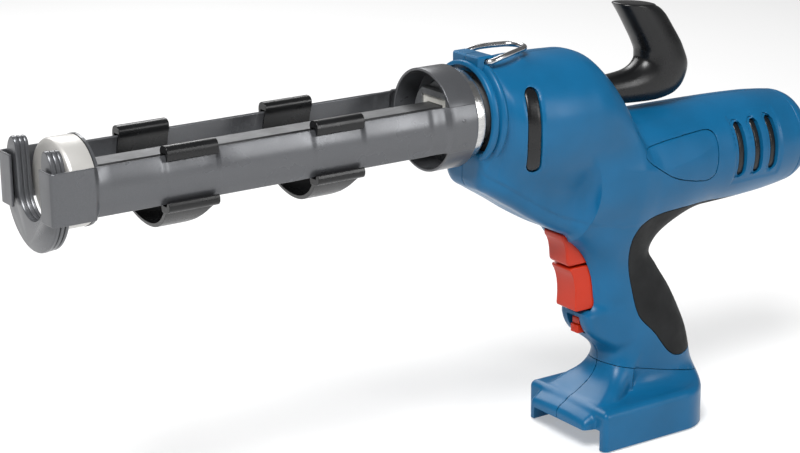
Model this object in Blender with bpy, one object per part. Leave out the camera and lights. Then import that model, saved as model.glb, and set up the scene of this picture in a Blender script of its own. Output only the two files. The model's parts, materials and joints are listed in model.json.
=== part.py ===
"""Cordless caulking gun with a rotating cartridge holder, without its battery.

Frame: +Z up, -X towards the nozzle end, +Y to the tool's right. The origin is under the middle
of the tool, on the plane of the foot's base. Shapes are drawn in millimetres with z measured
from the feed rod's axis, and placed in metres.
"""
import math

import bmesh
import bpy
from mathutils import Matrix, Vector

MM = 0.001
GAP = 0.3                   # clearance between pieces that touch
ROD_Z = 211.0               # height of the rod's axis above the foot's base
MIDDLE_X = 1.5              # middle of the tool's length in the drawing

# cartridge holder
FRONT_X = -256.5            # front face of the end disc
DISC_R = 30.0
DISC_T = 7.5
DISC_DROP = -3.0            # the disc's centre below the rod's axis
SLOT_R = 13.5
RAIL_T = 1.5
RAIL_R = 29.0               # outer radius of the curved rails
RAIL_TOP = 12.5
RAIL_BOTTOM = -13.3
FLAT_Y = 30.8               # outer face of the rails' flat front ends
FLAT_END_X = -234.0
TAB_Y = 17.0                # inner end of the tabs bent round the disc
COLLAR_X = (-21.8, -4.2)
COLLAR_R = 29.0
CRADLE_L = 29.2
CRADLE_X = (-195.8, -108.2)

# feed rod
ROD_W = 14.0
ROD_TOP = 8.0
ROD_X = (-242.2, 97.0)
MODULE = 1.25
RACK_PITCH_Z = -7.0
RACK_X = (-166.0, 74.0)
PUSHER_R = 23.4
PUSHER_X = (-245.5, -231.0)
SPIGOT_R = 5.0

# drive
SHAFT_X = 60.0
PINION_TEETH = 12
PINION_R = MODULE * PINION_TEETH / 2
SHAFT_Z = RACK_PITCH_Z - PINION_R
WHEEL_TEETH = 30
WHEEL_R = MODULE * WHEEL_TEETH / 2
WORM_R = 6.5
WORM_Z = SHAFT_Z - WHEEL_R - WORM_R
TRANSFER_TEETH = 10
TRANSFER_R = MODULE * TRANSFER_TEETH / 2
MOTOR_Z = -48.0
WORM_Y = math.sqrt((2 * TRANSFER_R) ** 2 - (WORM_Z - MOTOR_Z) ** 2)
SUN_TEETH, PLANET_TEETH, RING_TEETH = 9, 12, 33
SUN_MODULE = 1.0
PLANET_ORBIT = SUN_MODULE * (SUN_TEETH + PLANET_TEETH) / 2

# housing
WALL = 3.6
SOFT_T = 1.8
NECK_X = (5.5, 15.0)
BARREL_END_X = 241.0
REAR_X = 262.2
SEAM_FRONT = (107.5, -168.5)
SEAM_REAR = (176.5, -184.8)
HANG_X, HANG_Z = 13.5, 30.0
TRIGGER_W = 18.0
PIVOT = (84.5, -75.0)       # the upper trigger's pin

COLOURS = {
    "blue_plastic": ((0.020, 0.127, 0.300), 0.45, 0.0),
    "black_plastic": ((0.012, 0.012, 0.013), 0.40, 0.0),
    "soft_rubber": ((0.016, 0.017, 0.018), 0.75, 0.0),
    "red_plastic": ((0.700, 0.060, 0.015), 0.40, 0.0),
    "coated_steel": ((0.240, 0.250, 0.265), 0.38, 0.8),
    "bright_zinc": ((0.620, 0.620, 0.600), 0.30, 1.0),
    "rod_steel": ((0.400, 0.405, 0.410), 0.35, 1.0),
    "chrome": ((0.750, 0.750, 0.760), 0.12, 1.0),
    "cast_metal": ((0.420, 0.430, 0.440), 0.50, 0.9),
    "gear_steel": ((0.330, 0.330, 0.340), 0.35, 1.0),
    "brass": ((0.600, 0.420, 0.150), 0.35, 1.0),
    "white_nylon": ((0.700, 0.690, 0.640), 0.50, 0.0),
    "copper": ((0.600, 0.260, 0.130), 0.35, 1.0),
}


# ---------------------------------------------------------------- basic tools

def material(name):
    if name in bpy.data.materials:
        return bpy.data.materials[name]
    colour, roughness, metallic = COLOURS[name]
    mat = bpy.data.materials.new(name)
    mat.use_nodes = True
    shader = mat.node_tree.nodes["Principled BSDF"]
    shader.inputs["Base Color"].default_value = (*colour, 1.0)
    shader.inputs["Roughness"].default_value = roughness
    shader.inputs["Metallic"].default_value = metallic
    return mat


def mesh_object(bm, name="blank"):
    bmesh.ops.recalc_face_normals(bm, faces=bm.faces)
    mesh = bpy.data.meshes.new(name)
    bm.to_mesh(mesh)
    bm.free()
    obj = bpy.data.objects.new(name, mesh)
    bpy.context.scene.collection.objects.link(obj)
    return obj


def loft(rings):
    """Closed solid through rings of (x, y, z) points, all with the same number of points."""
    bm = bmesh.new()
    loops = [[bm.verts.new(Vector(p) * MM) for p in ring] for ring in rings]
    for low, high in zip(loops, loops[1:]):
        for i in range(len(low)):
            j = (i + 1) % len(low)
            bm.faces.new((low[i], low[j], high[j], high[i]))
    bm.faces.new(loops[0][::-1])
    bm.faces.new(loops[-1])
    return mesh_object(bm)


def prism(outline, axis, low, high):
    """Extrude a closed outline, given in the two other axes in X, Y, Z order, along an axis."""
    def place(p, t):
        values = list(p)
        values.insert("XYZ".index(axis), t)
        return values
    return loft([[place(p, low) for p in outline], [place(p, high) for p in outline]])


def box(low, high):
    outline = [(low[0], low[1]), (high[0], low[1]), (high[0], high[1]), (low[0], high[1])]
    return prism(outline, "Z", low[2], high[2])


def circle(radius, count, centre=(0.0, 0.0), phase=0.0):
    step = 2 * math.pi / count
    return [(centre[0] + radius * math.cos(i * step + phase),
             centre[1] + radius * math.sin(i * step + phase)) for i in range(count)]


def rod(axis, centre, radius, low, high, count=16):
    return prism(circle(radius, count, centre), axis, low, high)


def lathe_x(profile, centre=(0.0, 0.0), count=32):
    """Solid of revolution about an X axis from (x, radius) points, closed by flat ends."""
    return loft([[(x, *p) for p in circle(r, count, centre)] for x, r in profile])


def ring_x(profile, centre=(0.0, 0.0), count=32):
    """Hollow ring about an X axis: the profile is a closed loop of (x, radius) points."""
    bm = bmesh.new()
    loops = [[bm.verts.new(Vector((x, *p)) * MM) for p in circle(r, count, centre)]
             for x, r in profile]
    for a in range(len(loops)):
        low, high = loops[a], loops[(a + 1) % len(loops)]
        for i in range(count):
            j = (i + 1) % count
            bm.faces.new((low[i], low[j], high[j], high[i]))
    return mesh_object(bm)


def tube(points, radius, count=8, closed=False):
    """Round wire through points, made as a curve with a bevel and turned into a mesh."""
    curve = bpy.data.curves.new("wire", "CURVE")
    curve.dimensions = "3D"
    curve.bevel_depth = radius * MM
    curve.bevel_resolution = count // 4
    curve.use_fill_caps = not closed
    spline = curve.splines.new("POLY")
    spline.points.add(len(points) - 1)
    for target, point in zip(spline.points, points):
        target.co = (*(Vector(point) * MM), 1.0)
    spline.use_cyclic_u = closed
    holder = bpy.data.objects.new("wire", curve)
    bpy.context.scene.collection.objects.link(holder)
    depsgraph = bpy.context.evaluated_depsgraph_get()
    mesh = bpy.data.meshes.new_from_object(holder.evaluated_get(depsgraph))
    bpy.data.objects.remove(holder)
    bm = bmesh.new()
    bm.from_mesh(mesh)
    bmesh.ops.remove_doubles(bm, verts=bm.verts, dist=1e-6)
    return mesh_object(bm)


def turned(obj, axis, degrees, pivot):
    turn = Matrix.Rotation(math.radians(degrees), 4, axis)
    shift = Matrix.Translation(Vector(pivot) * MM)
    obj.data.transform(shift @ turn @ shift.inverted())
    return obj


def tidied(mesh):
    """Merge the tiny slivers that a Boolean can leave."""
    bm = bmesh.new()
    bm.from_mesh(mesh)
    bmesh.ops.remove_doubles(bm, verts=bm.verts, dist=3e-6)
    bmesh.ops.dissolve_degenerate(bm, dist=3e-6, edges=bm.edges)
    bm.to_mesh(mesh)
    bm.free()
    return mesh


def boolean(obj, others, operation):
    """Combine an object with others, which are used up."""
    for other in others if isinstance(others, list) else [others]:
        step = obj.modifiers.new("step", "BOOLEAN")
        step.operation = operation
        step.solver = "EXACT"
        step.object = other
        depsgraph = bpy.context.evaluated_depsgraph_get()
        mesh = bpy.data.meshes.new_from_object(obj.evaluated_get(depsgraph))
        obj.modifiers.clear()
        obj.data = tidied(mesh)
        bpy.data.objects.remove(other)
    return obj


def add(obj, others):
    return boolean(obj, others, "UNION")


def cut(obj, others):
    return boolean(obj, others, "DIFFERENCE")


def keep(obj, others):
    return boolean(obj, others, "INTERSECT")


def twin(obj):
    copy = bpy.data.objects.new(obj.name, obj.data.copy())
    bpy.context.scene.collection.objects.link(copy)
    return copy


def mirrored(obj):
    """The same solid on the other side of the tool's middle plane."""
    bm = bmesh.new()
    bm.from_mesh(obj.data)
    bmesh.ops.scale(bm, vec=(1, -1, 1), verts=bm.verts)
    return mesh_object(bm)


def piece(name, obj, slot, origin=(0.0, 0.0, 0.0), sharp=35.0):
    """Name a finished sub-part and give it its material, its shading and its own origin."""
    bm = bmesh.new()
    bm.from_mesh(obj.data)
    bmesh.ops.triangulate(bm, faces=[f for f in bm.faces if len(f.verts) > 4])
    bm.to_mesh(obj.data)
    bm.free()
    obj.name = name
    obj.data.name = name
    obj.data.transform(Matrix.Translation(-Vector(origin) * MM))
    obj.location = Vector((origin[0] - MIDDLE_X, origin[1], origin[2] + ROD_Z)) * MM
    obj.data.materials.clear()
    obj.data.materials.append(material(slot))
    obj.data.shade_smooth()
    obj.data.set_sharp_from_angle(angle=math.radians(sharp))
    return obj


def gear_outline(teeth, module, centre=(0.0, 0.0), phase=0.0, internal=False):
    """Gear outline with straight-sided teeth and some backlash; phase is a tooth's middle."""
    pitch_r = module * teeth / 2
    tip, root = (pitch_r + 0.75 * module, pitch_r - 1.0 * module)
    if internal:
        tip, root = (pitch_r - 0.65 * module, pitch_r + 1.0 * module)
    step = 2 * math.pi / teeth
    points = []
    for i in range(teeth):
        middle = phase + i * step
        for share, radius in ((-0.31, root), (-0.12, tip), (0.12, tip), (0.31, root)):
            angle = middle + share * step
            points.append((centre[0] + radius * math.cos(angle),
                           centre[1] + radius * math.sin(angle)))
    return points


# ------------------------------------------------------------ cartridge holder

def front_plate():
    """Round end plate, open upwards through its slot, its sides flat between the rails."""
    disc = lathe_x([(FRONT_X, DISC_R - 1.2), (FRONT_X + 1.2, DISC_R),
                    (FRONT_X + 2.6, DISC_R), (FRONT_X + 2.8, DISC_R - 1.0),
                    (FRONT_X + 3.2, DISC_R - 1.0), (FRONT_X + 3.4, DISC_R - 0.3),
                    (FRONT_X + 5.0, DISC_R - 0.3), (FRONT_X + 5.2, DISC_R - 1.2),
                    (FRONT_X + 5.6, DISC_R - 1.2), (FRONT_X + 5.8, DISC_R - 0.6),
                    (FRONT_X + DISC_T, DISC_R - 0.6)], (0.0, DISC_DROP), 48)
    arc = [(SLOT_R * math.cos(a), DISC_DROP + SLOT_R * math.sin(a))
           for a in [math.pi + math.pi * i / 14 for i in range(15)]]
    slot = prism([*arc, (SLOT_R, 12.0), (SLOT_R + 3.0, 20.0), (SLOT_R + 3.6, 40.0),
                  (-SLOT_R - 3.6, 40.0), (-SLOT_R - 3.0, 20.0), (-SLOT_R, 12.0)],
                 "X", FRONT_X - 5, FRONT_X + DISC_T + 5)
    side = FLAT_Y - RAIL_T - 0.75
    flats = box((FRONT_X - 5, -side, -60), (FRONT_X + DISC_T + 5, side, 60))
    piece("front_plate", keep(cut(disc, slot), flats), "coated_steel")


def rail_section(x, radius, thickness=RAIL_T, count=9):
    """Closed arc section of a side rail on the -Y side at one station."""
    def arc(r):
        low = -math.pi + math.asin(-RAIL_BOTTOM / r)
        high = -math.pi - math.asin(RAIL_TOP / r)
        return [(x, r * math.cos(low + (high - low) * i / (count - 1)),
                 r * math.sin(low + (high - low) * i / (count - 1))) for i in range(count)]
    return arc(radius) + arc(radius - thickness)[::-1]


def rail():
    """Left rail: curved body with shallow pressed steps, a flat front end and a bent tab."""
    low, high = RAIL_R - 0.5, RAIL_R
    over = COLLAR_R + GAP + RAIL_T
    steps = [(FLAT_END_X, high), (-198.6, high), (-193.0, low), (-167.3, low), (-164.3, high),
             (-111.6, high), (-105.5, low), (-80.4, low), (-76.4, high), (-37.4, high),
             (-32.0, low + 0.8), (-25.5, low + 0.8), (-22.6, over), (-6.0, over)]
    curved = loft([rail_section(x, r) for x, r in steps])
    bottom, top = RAIL_BOTTOM, RAIL_TOP + 1.0
    outer, inner = -FLAT_Y, -FLAT_Y + RAIL_T
    tab = FRONT_X - 2.7
    strip = [(FLAT_END_X + 4.0, -27.6), (FLAT_END_X - 1.0, inner), (FRONT_X + 0.2, inner),
             (FRONT_X - 0.7, inner + 0.5), (FRONT_X - 0.7, -TAB_Y), (tab, -TAB_Y),
             (tab, outer + 2.5), (tab + 0.8, outer + 0.8), (tab + 2.6, outer),
             (FLAT_END_X - 1.0, outer), (FLAT_END_X + 3.0, -28.9)]
    flat = prism(strip, "Z", bottom, top)
    return add(curved, flat)


def collar():
    """Collar with an inner flange that runs behind the gear case's nose."""
    front, rear = COLLAR_X
    bore = COLLAR_R - 1.6
    ring = ring_x([(front, COLLAR_R - 0.3), (front + 0.5, COLLAR_R), (rear - 0.6, COLLAR_R),
                   (rear, COLLAR_R - 0.6), (rear, 21.2), (rear - 1.8, 21.2),
                   (rear - 1.8, bore), (front, bore)], count=44)
    piece("collar", ring, "coated_steel")


def cradle_outline():
    """Half outline of a saddle on the +Y side, from the trough's bottom to the top hook."""
    def arc(r, start, end, count):
        return [(r * math.cos(math.radians(start + (end - start) * i / (count - 1))),
                 r * math.sin(math.radians(start + (end - start) * i / (count - 1))))
                for i in range(count)]
    inside = arc(28.4, -90, -40, 7)[1:] + arc(25.2, -34, 26, 7)
    hook = [(22.0, 14.2), (23.2, 16.4), (25.2, 17.4), (27.6, 17.2), (29.4, 15.6), (30.0, 12.8),
            (29.6, 10.0), (28.4, 9.4), (27.9, 10.4), (27.6, 13.3), (23.3, 13.3)]
    liner = arc(26.6, 27.0, -27.5, 7)
    bead = [(23.1, -14.1), (26.9, -14.1), (27.5, -12.0), (28.7, -11.6), (29.7, -12.8),
            (29.6, -15.4), (28.2, -16.9), (26.6, -17.2)]
    outside = arc(30.6, -35, -90, 8)[:-1]
    return [(0.0, -28.4)] + inside + hook + liner + bead + outside + [(0.0, -30.6)]


def cradles():
    right = cradle_outline()
    outline = right + [(-y, z) for y, z in right[-2:0:-1]]
    for name, start in zip(("front_cradle", "rear_cradle"), CRADLE_X):
        piece(name, prism(outline, "X", start, start + CRADLE_L), "black_plastic")


# ------------------------------------------------------------------- feed rod

def feed_rod():
    """Square rod with a rack under it and a round spigot at its rear end."""
    pitch = math.pi * MODULE
    root = RACK_PITCH_Z + 1.1 * MODULE
    tip = RACK_PITCH_Z - 0.75 * MODULE
    teeth = int((RACK_X[1] - RACK_X[0]) / pitch)
    first = SHAFT_X - round((SHAFT_X - RACK_X[0]) / pitch) * pitch
    under = [(ROD_X[0], tip), (first - 0.8 * pitch, tip), (first - 0.5 * pitch, root)]
    for i in range(teeth):
        middle = first + i * pitch
        under += [(middle - 0.31 * pitch, root), (middle - 0.12 * pitch, tip),
                  (middle + 0.12 * pitch, tip), (middle + 0.31 * pitch, root)]
    last = first + (teeth - 1) * pitch
    under += [(last + 0.5 * pitch, root), (last + 0.8 * pitch, tip), (ROD_X[1], tip)]
    outline = under + [(ROD_X[1], ROD_TOP), (ROD_X[0], ROD_TOP)]
    bar = prism(outline, "Y", -ROD_W / 2, ROD_W / 2)
    spigot = rod("X", (0.0, 0.0), SPIGOT_R, ROD_X[1] - 2, ROD_X[1] + 16.7)
    nose = rod("X", (0.0, 0.0), 1.9, ROD_X[0] - 1, ROD_X[0] + 12)
    piece("feed_rod", cut(add(bar, spigot), nose), "rod_steel")


def pusher():
    """Pusher plate and its backing disc sit on the rod's square end, held by a screw."""
    front, rear = PUSHER_X
    plate = lathe_x([(front, PUSHER_R - 2.4), (front + 0.7, PUSHER_R - 0.9),
                     (front + 2.2, PUSHER_R), (rear, PUSHER_R)], count=44)
    half = ROD_W / 2 + GAP
    square = box((front + 3.0, -half, -8.6), (rear + 5, half, ROD_TOP + GAP))
    screw_hole = rod("X", (0.0, 0.0), 2.3, front - 2, front + 5)
    head_seat = rod("X", (0.0, 0.0), 5.0, front - 2, front + 2.0)
    piece("pusher_plate", cut(plate, [square, screw_hole, head_seat]), "bright_zinc")
    backing = lathe_x([(rear + GAP, PUSHER_R + 0.3), (rear + GAP + 1.5, PUSHER_R + 0.3)],
                      count=44)
    square = box((rear - 5, -half, -8.6), (rear + 8, half, ROD_TOP + GAP))
    piece("pusher_backing", cut(backing, square), "coated_steel")
    screw = lathe_x([(front + 0.1, 3.8), (front + 0.6, 4.6), (front + 1.7, 4.6),
                     (front + 1.71, 1.6), (front + 12, 1.6)], count=16)
    hexagon = rod("X", (0.0, 0.0), 2.2, front - 2, front + 1.1, 6)
    piece("pusher_screw", cut(screw, hexagon), "bright_zinc")


def pull_handle():
    """Hook-shaped handle: a round neck bent up into a leaning finger leg with a sloping top."""
    stations = [  # inner point (x, z), outer point (x, z), half width
        (97.4, 7.4, 97.4, -9.0, 8.4), (112.0, 8.2, 112.0, -9.8, 8.8),
        (122.0, 9.2, 126.0, -11.0, 9.6),
        (128.0, 11.0, 142.0, -11.6, 10.6), (131.5, 13.2, 156.0, -9.6, 11.6),
        (133.4, 16.0, 165.0, -2.5, 12.2), (133.2, 19.5, 168.2, 7.5, 12.4),
        (130.8, 25.0, 164.0, 19.5, 12.2), (125.5, 34.0, 155.8, 32.5, 11.8),
        (119.6, 43.5, 149.6, 41.0, 11.3), (117.0, 47.0, 145.6, 44.4, 10.9),
        (116.0, 49.5, 140.0, 46.6, 10.2)]
    rings = []
    for inner_x, inner_z, outer_x, outer_z, width in stations:
        x, z = (inner_x + outer_x) / 2, (inner_z + outer_z) / 2
        ring = []
        for i in range(16):
            a = 2 * math.pi * i / 16
            share = math.cos(a)
            ring.append((x + share * (inner_x - x), width * math.sin(a),
                         z + share * (inner_z - z)))
        rings.append(ring)
    grip = loft(rings)
    socket = rod("X", (0.0, 0.0), SPIGOT_R + GAP, ROD_X[1] - 3, ROD_X[1] + 17)
    piece("pull_handle", cut(grip, socket), "black_plastic")


# --------------------------------------------------------------- housing blanks

def oval_x(x, centre, up, down, half_width, count=20):
    """Egg-shaped section at one station along X: its upper and lower halves differ."""
    ring = []
    for i in range(count):
        a = 2 * math.pi * i / count
        height = up if math.sin(a) >= 0 else down
        ring.append((x, half_width * math.cos(a), centre + height * math.sin(a)))
    return ring


def bulge(inset):
    stations = [(14.8, 0.0, 30.2, 30.2, 30.2), (19.0, -2.0, 29.6, 35.0, 33.2),
                (27.0, -4.0, 31.6, 40.0, 36.4), (40.0, -5.0, 33.8, 44.0, 38.4),
                (56.0, -6.0, 35.0, 48.0, 39.0), (74.0, -6.0, 34.4, 52.0, 38.4),
                (84.0, -8.0, 33.8, 56.0, 37.4), (92.0, -12.0, 31.2, 58.0, 36.0),
                (99.0, -18.0, 28.6, 56.0, 34.8), (105.0, -25.0, 25.6, 52.0, 33.8),
                (111.0, -34.0, 21.6, 46.0, 33.2)]
    if inset > SOFT_T + 1:
        stations = stations[1:]
    return loft([oval_x(x, c, u - inset, d - inset, w - inset) for x, c, u, d, w in stations])


def barrel(inset):
    end = 260.0 if inset > 0 else BARREL_END_X
    stations = [(80.0, 33.2), (112.0, 33.6), (150.0, 33.4), (190.0, 32.8), (220.0, 31.6),
                (235.0, 30.2), (end, 29.4)]
    if inset > 0:
        stations = [(80.0 + inset, 33.0)] + stations[1:]
    return loft([oval_x(x, MOTOR_Z, r - inset, r - inset, r - inset) for x, r in stations])


def chin(inset):
    """Keel below the neck that runs back and down to the trigger."""
    stations = [(NECK_X[0], -39.0, 17.0), (8.0, -42.5, 18.6), (13.5, -46.0, 19.4),
                (27.5, -54.7, 20.0), (46.5, -67.0, 20.0), (65.0, -77.0, 19.4),
                (86.0, -84.0, 18.6), (104.0, -88.0, 17.6)]
    if inset > 0:
        stations = [(NECK_X[0] + inset, -41.5, 18.0), *stations[2:]]
    rings = []
    for x, bottom, half in stations:
        w, low, corner = half - inset, bottom + inset, 8.0
        ring = [(x, w, -22.0), (x, w, low + corner)]
        for i in range(1, 5):
            a = math.pi / 2 * i / 5
            ring.append((x, w - corner + corner * math.cos(a),
                         low + corner - corner * math.sin(a)))
        ring.append((x, w - corner, low))
        rings.append(ring + [(px, -y, z) for px, y, z in ring[::-1]])
    return loft(rings)


def grip_ring(front, rear, half_width, z, inset, count=20):
    """Section of the grip: an oval that is blunter at the front, level or on the seam."""
    middle = (front + rear) / 2
    half = (rear - front) / 2 - inset
    ring = []
    for i in range(count):
        a = 2 * math.pi * i / count
        power = 0.75 if math.cos(a) < 0 else 0.9
        x = middle + half * math.copysign(abs(math.cos(a)) ** power, math.cos(a))
        y = (half_width - inset) * math.copysign(abs(math.sin(a)) ** 0.85, math.sin(a))
        ring.append((x, y, z(x) if callable(z) else z))
    return ring


def seam_height(drop):
    slope = (SEAM_REAR[1] - SEAM_FRONT[1]) / (SEAM_REAR[0] - SEAM_FRONT[0])
    return lambda x: SEAM_FRONT[1] + slope * (x - SEAM_FRONT[0]) - drop


def grip(inset):
    stations = [(92.0, 156.0, 19.0, -62.0), (90.0, 150.0, 18.4, -78.0), (87.6, 142.0, 17.0, -92.0),
                (88.0, 139.6, 16.6, -101.0), (89.0, 146.0, 16.8, -112.0),
                (91.0, 157.0, 17.2, -128.0), (97.0, 165.6, 17.6, -144.0),
                (104.0, 171.2, 17.8, -157.0)]
    rings = [grip_ring(f, r, w, z, inset) for f, r, w, z in stations]
    drop = 4.0 if inset > 0 else 0.0
    rings.append(grip_ring(SEAM_FRONT[0], SEAM_REAR[0], 18.4, seam_height(drop), inset))
    return loft(rings)


def guard(inset):
    """Rounded nose below the trigger that holds the lock slider."""
    outline = [(86.6, -131.0), (86.9, -138.0), (90.0, -144.8), (95.6, -150.4), (103.0, -154.8),
               (112.0, -158.4), (124.0, -150.0), (124.0, -131.0)]
    middle = (112.0, -141.0)
    rings = []
    for y, less in ((-13.2, 2.4), (-10.6, 0.0), (10.6, 0.0), (13.2, 2.4)):
        shrink = 1 - (inset + less) / 22.0
        y -= math.copysign(inset, y)
        rings.append([(middle[0] + (x - middle[0]) * shrink, y,
                       middle[1] + (z - middle[1]) * shrink) for x, z in outline])
    return loft(rings)


def body_blank(inset):
    return add(bulge(inset), [barrel(inset), chin(inset), grip(inset), guard(inset)])


def neck():
    """Turned neck with two ridges, in front of the body."""
    return lathe_x([(NECK_X[0], 29.0), (NECK_X[0] + 0.8, 29.8), (9.0, 29.8), (9.8, 28.6),
                    (10.8, 28.6), (11.6, 31.2), (14.4, 31.2), (16.0, 29.8), (24.0, 29.0)],
                   count=40)


def soft_region(grow):
    """Side view outline of the rubber grip, taken past the housing's back."""
    outline = [(214.0, -79.0), (190.0, -76.0), (160.0, -73.6), (135.5, -72.6), (124.5, -74.2),
               (116.4, -78.0), (112.2, -84.4), (111.4, -91.0), (113.0, -99.8), (118.6, -124.0),
               (121.4, -134.2), (124.8, -141.0), (135.9, -151.2), (141.4, -158.8),
               (147.2, -166.2), (154.2, -170.4), (163.0, -170.8), (190.0, -166.0),
               (240.0, -120.0), (226.0, -84.0)]
    middle = Vector((165.0, -112.0))
    points = []
    for p in outline:
        away = Vector(p) - middle
        points.append(tuple(middle + away * (1 + grow / away.length)))
    return prism(points, "Y", -60, 60)


def half_box(side):
    low, high = sorted((side * 0.15, side * 70))
    return box((-30, low, -220), (300, high, 60))


# -------------------------------------------------------------- housing details

SIDE_SLOT = (29.4, -8.2, 24.0)     # x, middle z and half length of the bulge's side insert
VENT_X = (190.5, 204.0, 217.0)
VENT_Z = -43.5
VENT_HALF = 16.0
LABEL = [(111.5, -34.8), (115.0, -31.6), (127.5, -29.9), (153.5, -28.2), (164.5, -27.6),
         (169.0, -29.4), (170.5, -34.0), (168.7, -52.0), (166.5, -55.6), (161.3, -57.4),
         (148.5, -55.4), (133.7, -51.2), (122.4, -44.2), (114.1, -38.2)]
BOSSES = [(41.0, 19.3, 26.8), (93.0, -20.0, 35.0), (225.0, -66.0, 24.0),
          (103.5, -85.0, 16.4), (112.0, -139.0, 16.0)]    # x, z, the housing's half width
FOOT_BOSSES = [(92.0, -192.4, 25.0), (150.0, -189.7, 24.2)]


def insert_bar(x_half, z_half, reach):
    """Round-ended upright bar through both sides at the bulge's slots, bowed forwards."""
    x, z, length = SIDE_SLOT
    straight = z_half - x_half
    arc = [(x_half * math.cos(math.pi * i / 6), x_half * math.sin(math.pi * i / 6))
           for i in range(7)]
    outline = [(dx, straight + dz) for dx, dz in arc]
    outline += [(-x_half, straight * share) for share in (0.5, 0.0, -0.5)]
    outline += [(-dx, -straight - dz) for dx, dz in arc]
    outline += [(x_half, straight * share) for share in (-0.5, 0.0, 0.5)]
    bowed = [(x + dx - 1.5 * dz / length + 3.3 * (dz / length) ** 2, z + dz)
             for dx, dz in outline]
    return prism(bowed, "Y", -reach, reach)


def vent_bars(x_half, z_half, near, far):
    bars = []
    for x in VENT_X:
        arc = [(x_half * math.cos(math.pi * i / 4), x_half * math.sin(math.pi * i / 4))
               for i in range(5)]
        top = [(x + dx, VENT_Z + z_half - x_half + dz) for dx, dz in arc]
        bottom = [(x - dx, VENT_Z - z_half + x_half - dz) for dx, dz in arc]
        bars.append(prism(top + bottom, "Y", near, far))
    return bars


def label_blank(grow, near, far):
    middle = Vector((146.5, -42.0))
    points = []
    for p in LABEL:
        away = Vector(p) - middle
        points.append(tuple(middle + away * (1 + grow / away.length)))
    return prism(points, "Y", near, far)


def boss_posts(bosses, side):
    radius = 4.2 if side < 0 else 5.2
    return [rod("Y", (x, z), radius, *sorted((side * 0.15, side * (half - 1.5))), 10)
            for x, z, half in bosses]


def screw_cuts(bosses, side):
    """Pilot holes on the left; clearance holes and counterbores on the right."""
    cuts = []
    for x, z, half in bosses:
        if side < 0:
            cuts.append(rod("Y", (x, z), 1.9, -9.0, 1.0, 10))
        else:
            cuts.append(rod("Y", (x, z), 1.9, -1.0, half, 10))
            cuts.append(rod("Y", (x, z), 3.7, half - 5.0, half + 12, 12))
    return cuts


def shells():
    """Both housing halves, hollow, with every opening, plus the rubber overlays."""
    outer = add(body_blank(0.0), neck())
    outer = add(outer, box((7.6, -12.6, 24.0), (18.6, 12.6, 33.4)))
    soft_core = body_blank(SOFT_T)
    soft_seat = body_blank(SOFT_T + GAP)
    cavity = body_blank(WALL)

    rubber = cut(keep(twin(outer), soft_region(0.0)), soft_core)
    recess = cut(soft_region(GAP), soft_seat)
    outer = cut(outer, recess)

    plates = cut(keep(twin(outer), label_blank(0.0, -60, 60)), body_blank(1.0))
    label_recess = cut(label_blank(GAP, -60, 60), body_blank(1.0 + GAP))
    outer = cut(outer, label_recess)

    hang_holes = rod("Y", (HANG_X, HANG_Z), 2.1, -14, 14, 12)
    for side, word in ((-1, "left"), (1, "right")):
        shell = cut(twin(outer), twin(cavity))
        shell = keep(shell, half_box(side))
        shell = add(shell, [keep(post, twin(outer)) for post in boss_posts(BOSSES, side)])
        shell = cut(shell, screw_cuts(BOSSES, side))
        reach = sorted((side * 20.0, side * 60.0))
        cuts = [
            rod("X", (0.0, 0.0), 20.8, -5, 30, 32),
            rod("X", (0.0, -0.8), 9.6, 90, 130, 20),
            box((90, -7.6, -9.0), (130, 7.6, 8.7)),
            box((60, -TRIGGER_W / 2 - 0.6, -131.5), (98.1, TRIGGER_W / 2 + 0.6, -80.0)),
            box((90, -TRIGGER_W / 2 - 0.6, -131.5), (102.6, TRIGGER_W / 2 + 0.6, -101.6)),
            box((PIVOT[0] - 5.4, -6.6, -84.0), (PIVOT[0] + 5.4, 6.6, PIVOT[1] + 5.4)),
            rod("Y", PIVOT, 1.9, -16.6, 16.6, 12),
            box((80, -6.0, -147.0), (97.0, 6.0, -135.4)),
            insert_bar(4.4, SIDE_SLOT[2] + 0.6, 60),
            *vent_bars(2.9, VENT_HALF, *reach),
            twin(hang_holes),
        ]
        shell = cut(shell, cuts)
        piece(f"{word}_shell", shell, "blue_plastic")
        piece(f"{word}_soft_grip", keep(twin(rubber), half_box(side)), "soft_rubber")
        reach = sorted((side * 10.0, side * 60.0))
        side_box = box((100, reach[0], -70), (180, reach[1], -20))
        piece(f"{word}_label_plate", keep(twin(plates), side_box), "blue_plastic")
    for spare in (outer, cavity, rubber, plates, hang_holes):
        bpy.data.objects.remove(spare)


def side_inserts():
    blank = keep(insert_bar(4.1, SIDE_SLOT[2] + 0.3, 60), body_blank(0.6))
    blank = cut(blank, body_blank(WALL + 0.6))
    blank_back = keep(insert_bar(5.4, SIDE_SLOT[2] + 1.8, 60), body_blank(WALL + GAP))
    blank_back = cut(blank_back, body_blank(WALL + 1.6))
    blank = add(blank, blank_back)
    for side, word in ((-1, "left"), (1, "right")):
        near, far = sorted((side * 8.0, side * 60.0))
        half = keep(twin(blank), box((0, near, -60), (60, far, 40)))
        piece(f"{word}_side_insert", half, "black_plastic")
    bpy.data.objects.remove(blank)


def vent_liners():
    """Louvre plate behind each row of vents, with a bar standing in every slot."""
    for side, word in ((-1, "left"), (1, "right")):
        near, far = sorted((side * 24.6, side * 26.2))
        plate = box((184.0, near, VENT_Z - 17.5), (223.0, far, VENT_Z + 17.5))
        reach = sorted((side * 25.4, side * 31.4))
        liner = add(plate, vent_bars(2.3, VENT_HALF - 2.4, *reach))
        piece(f"{word}_vent_liner", keep(liner, body_blank(WALL + GAP + 0.1)),
              "black_plastic")


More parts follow.
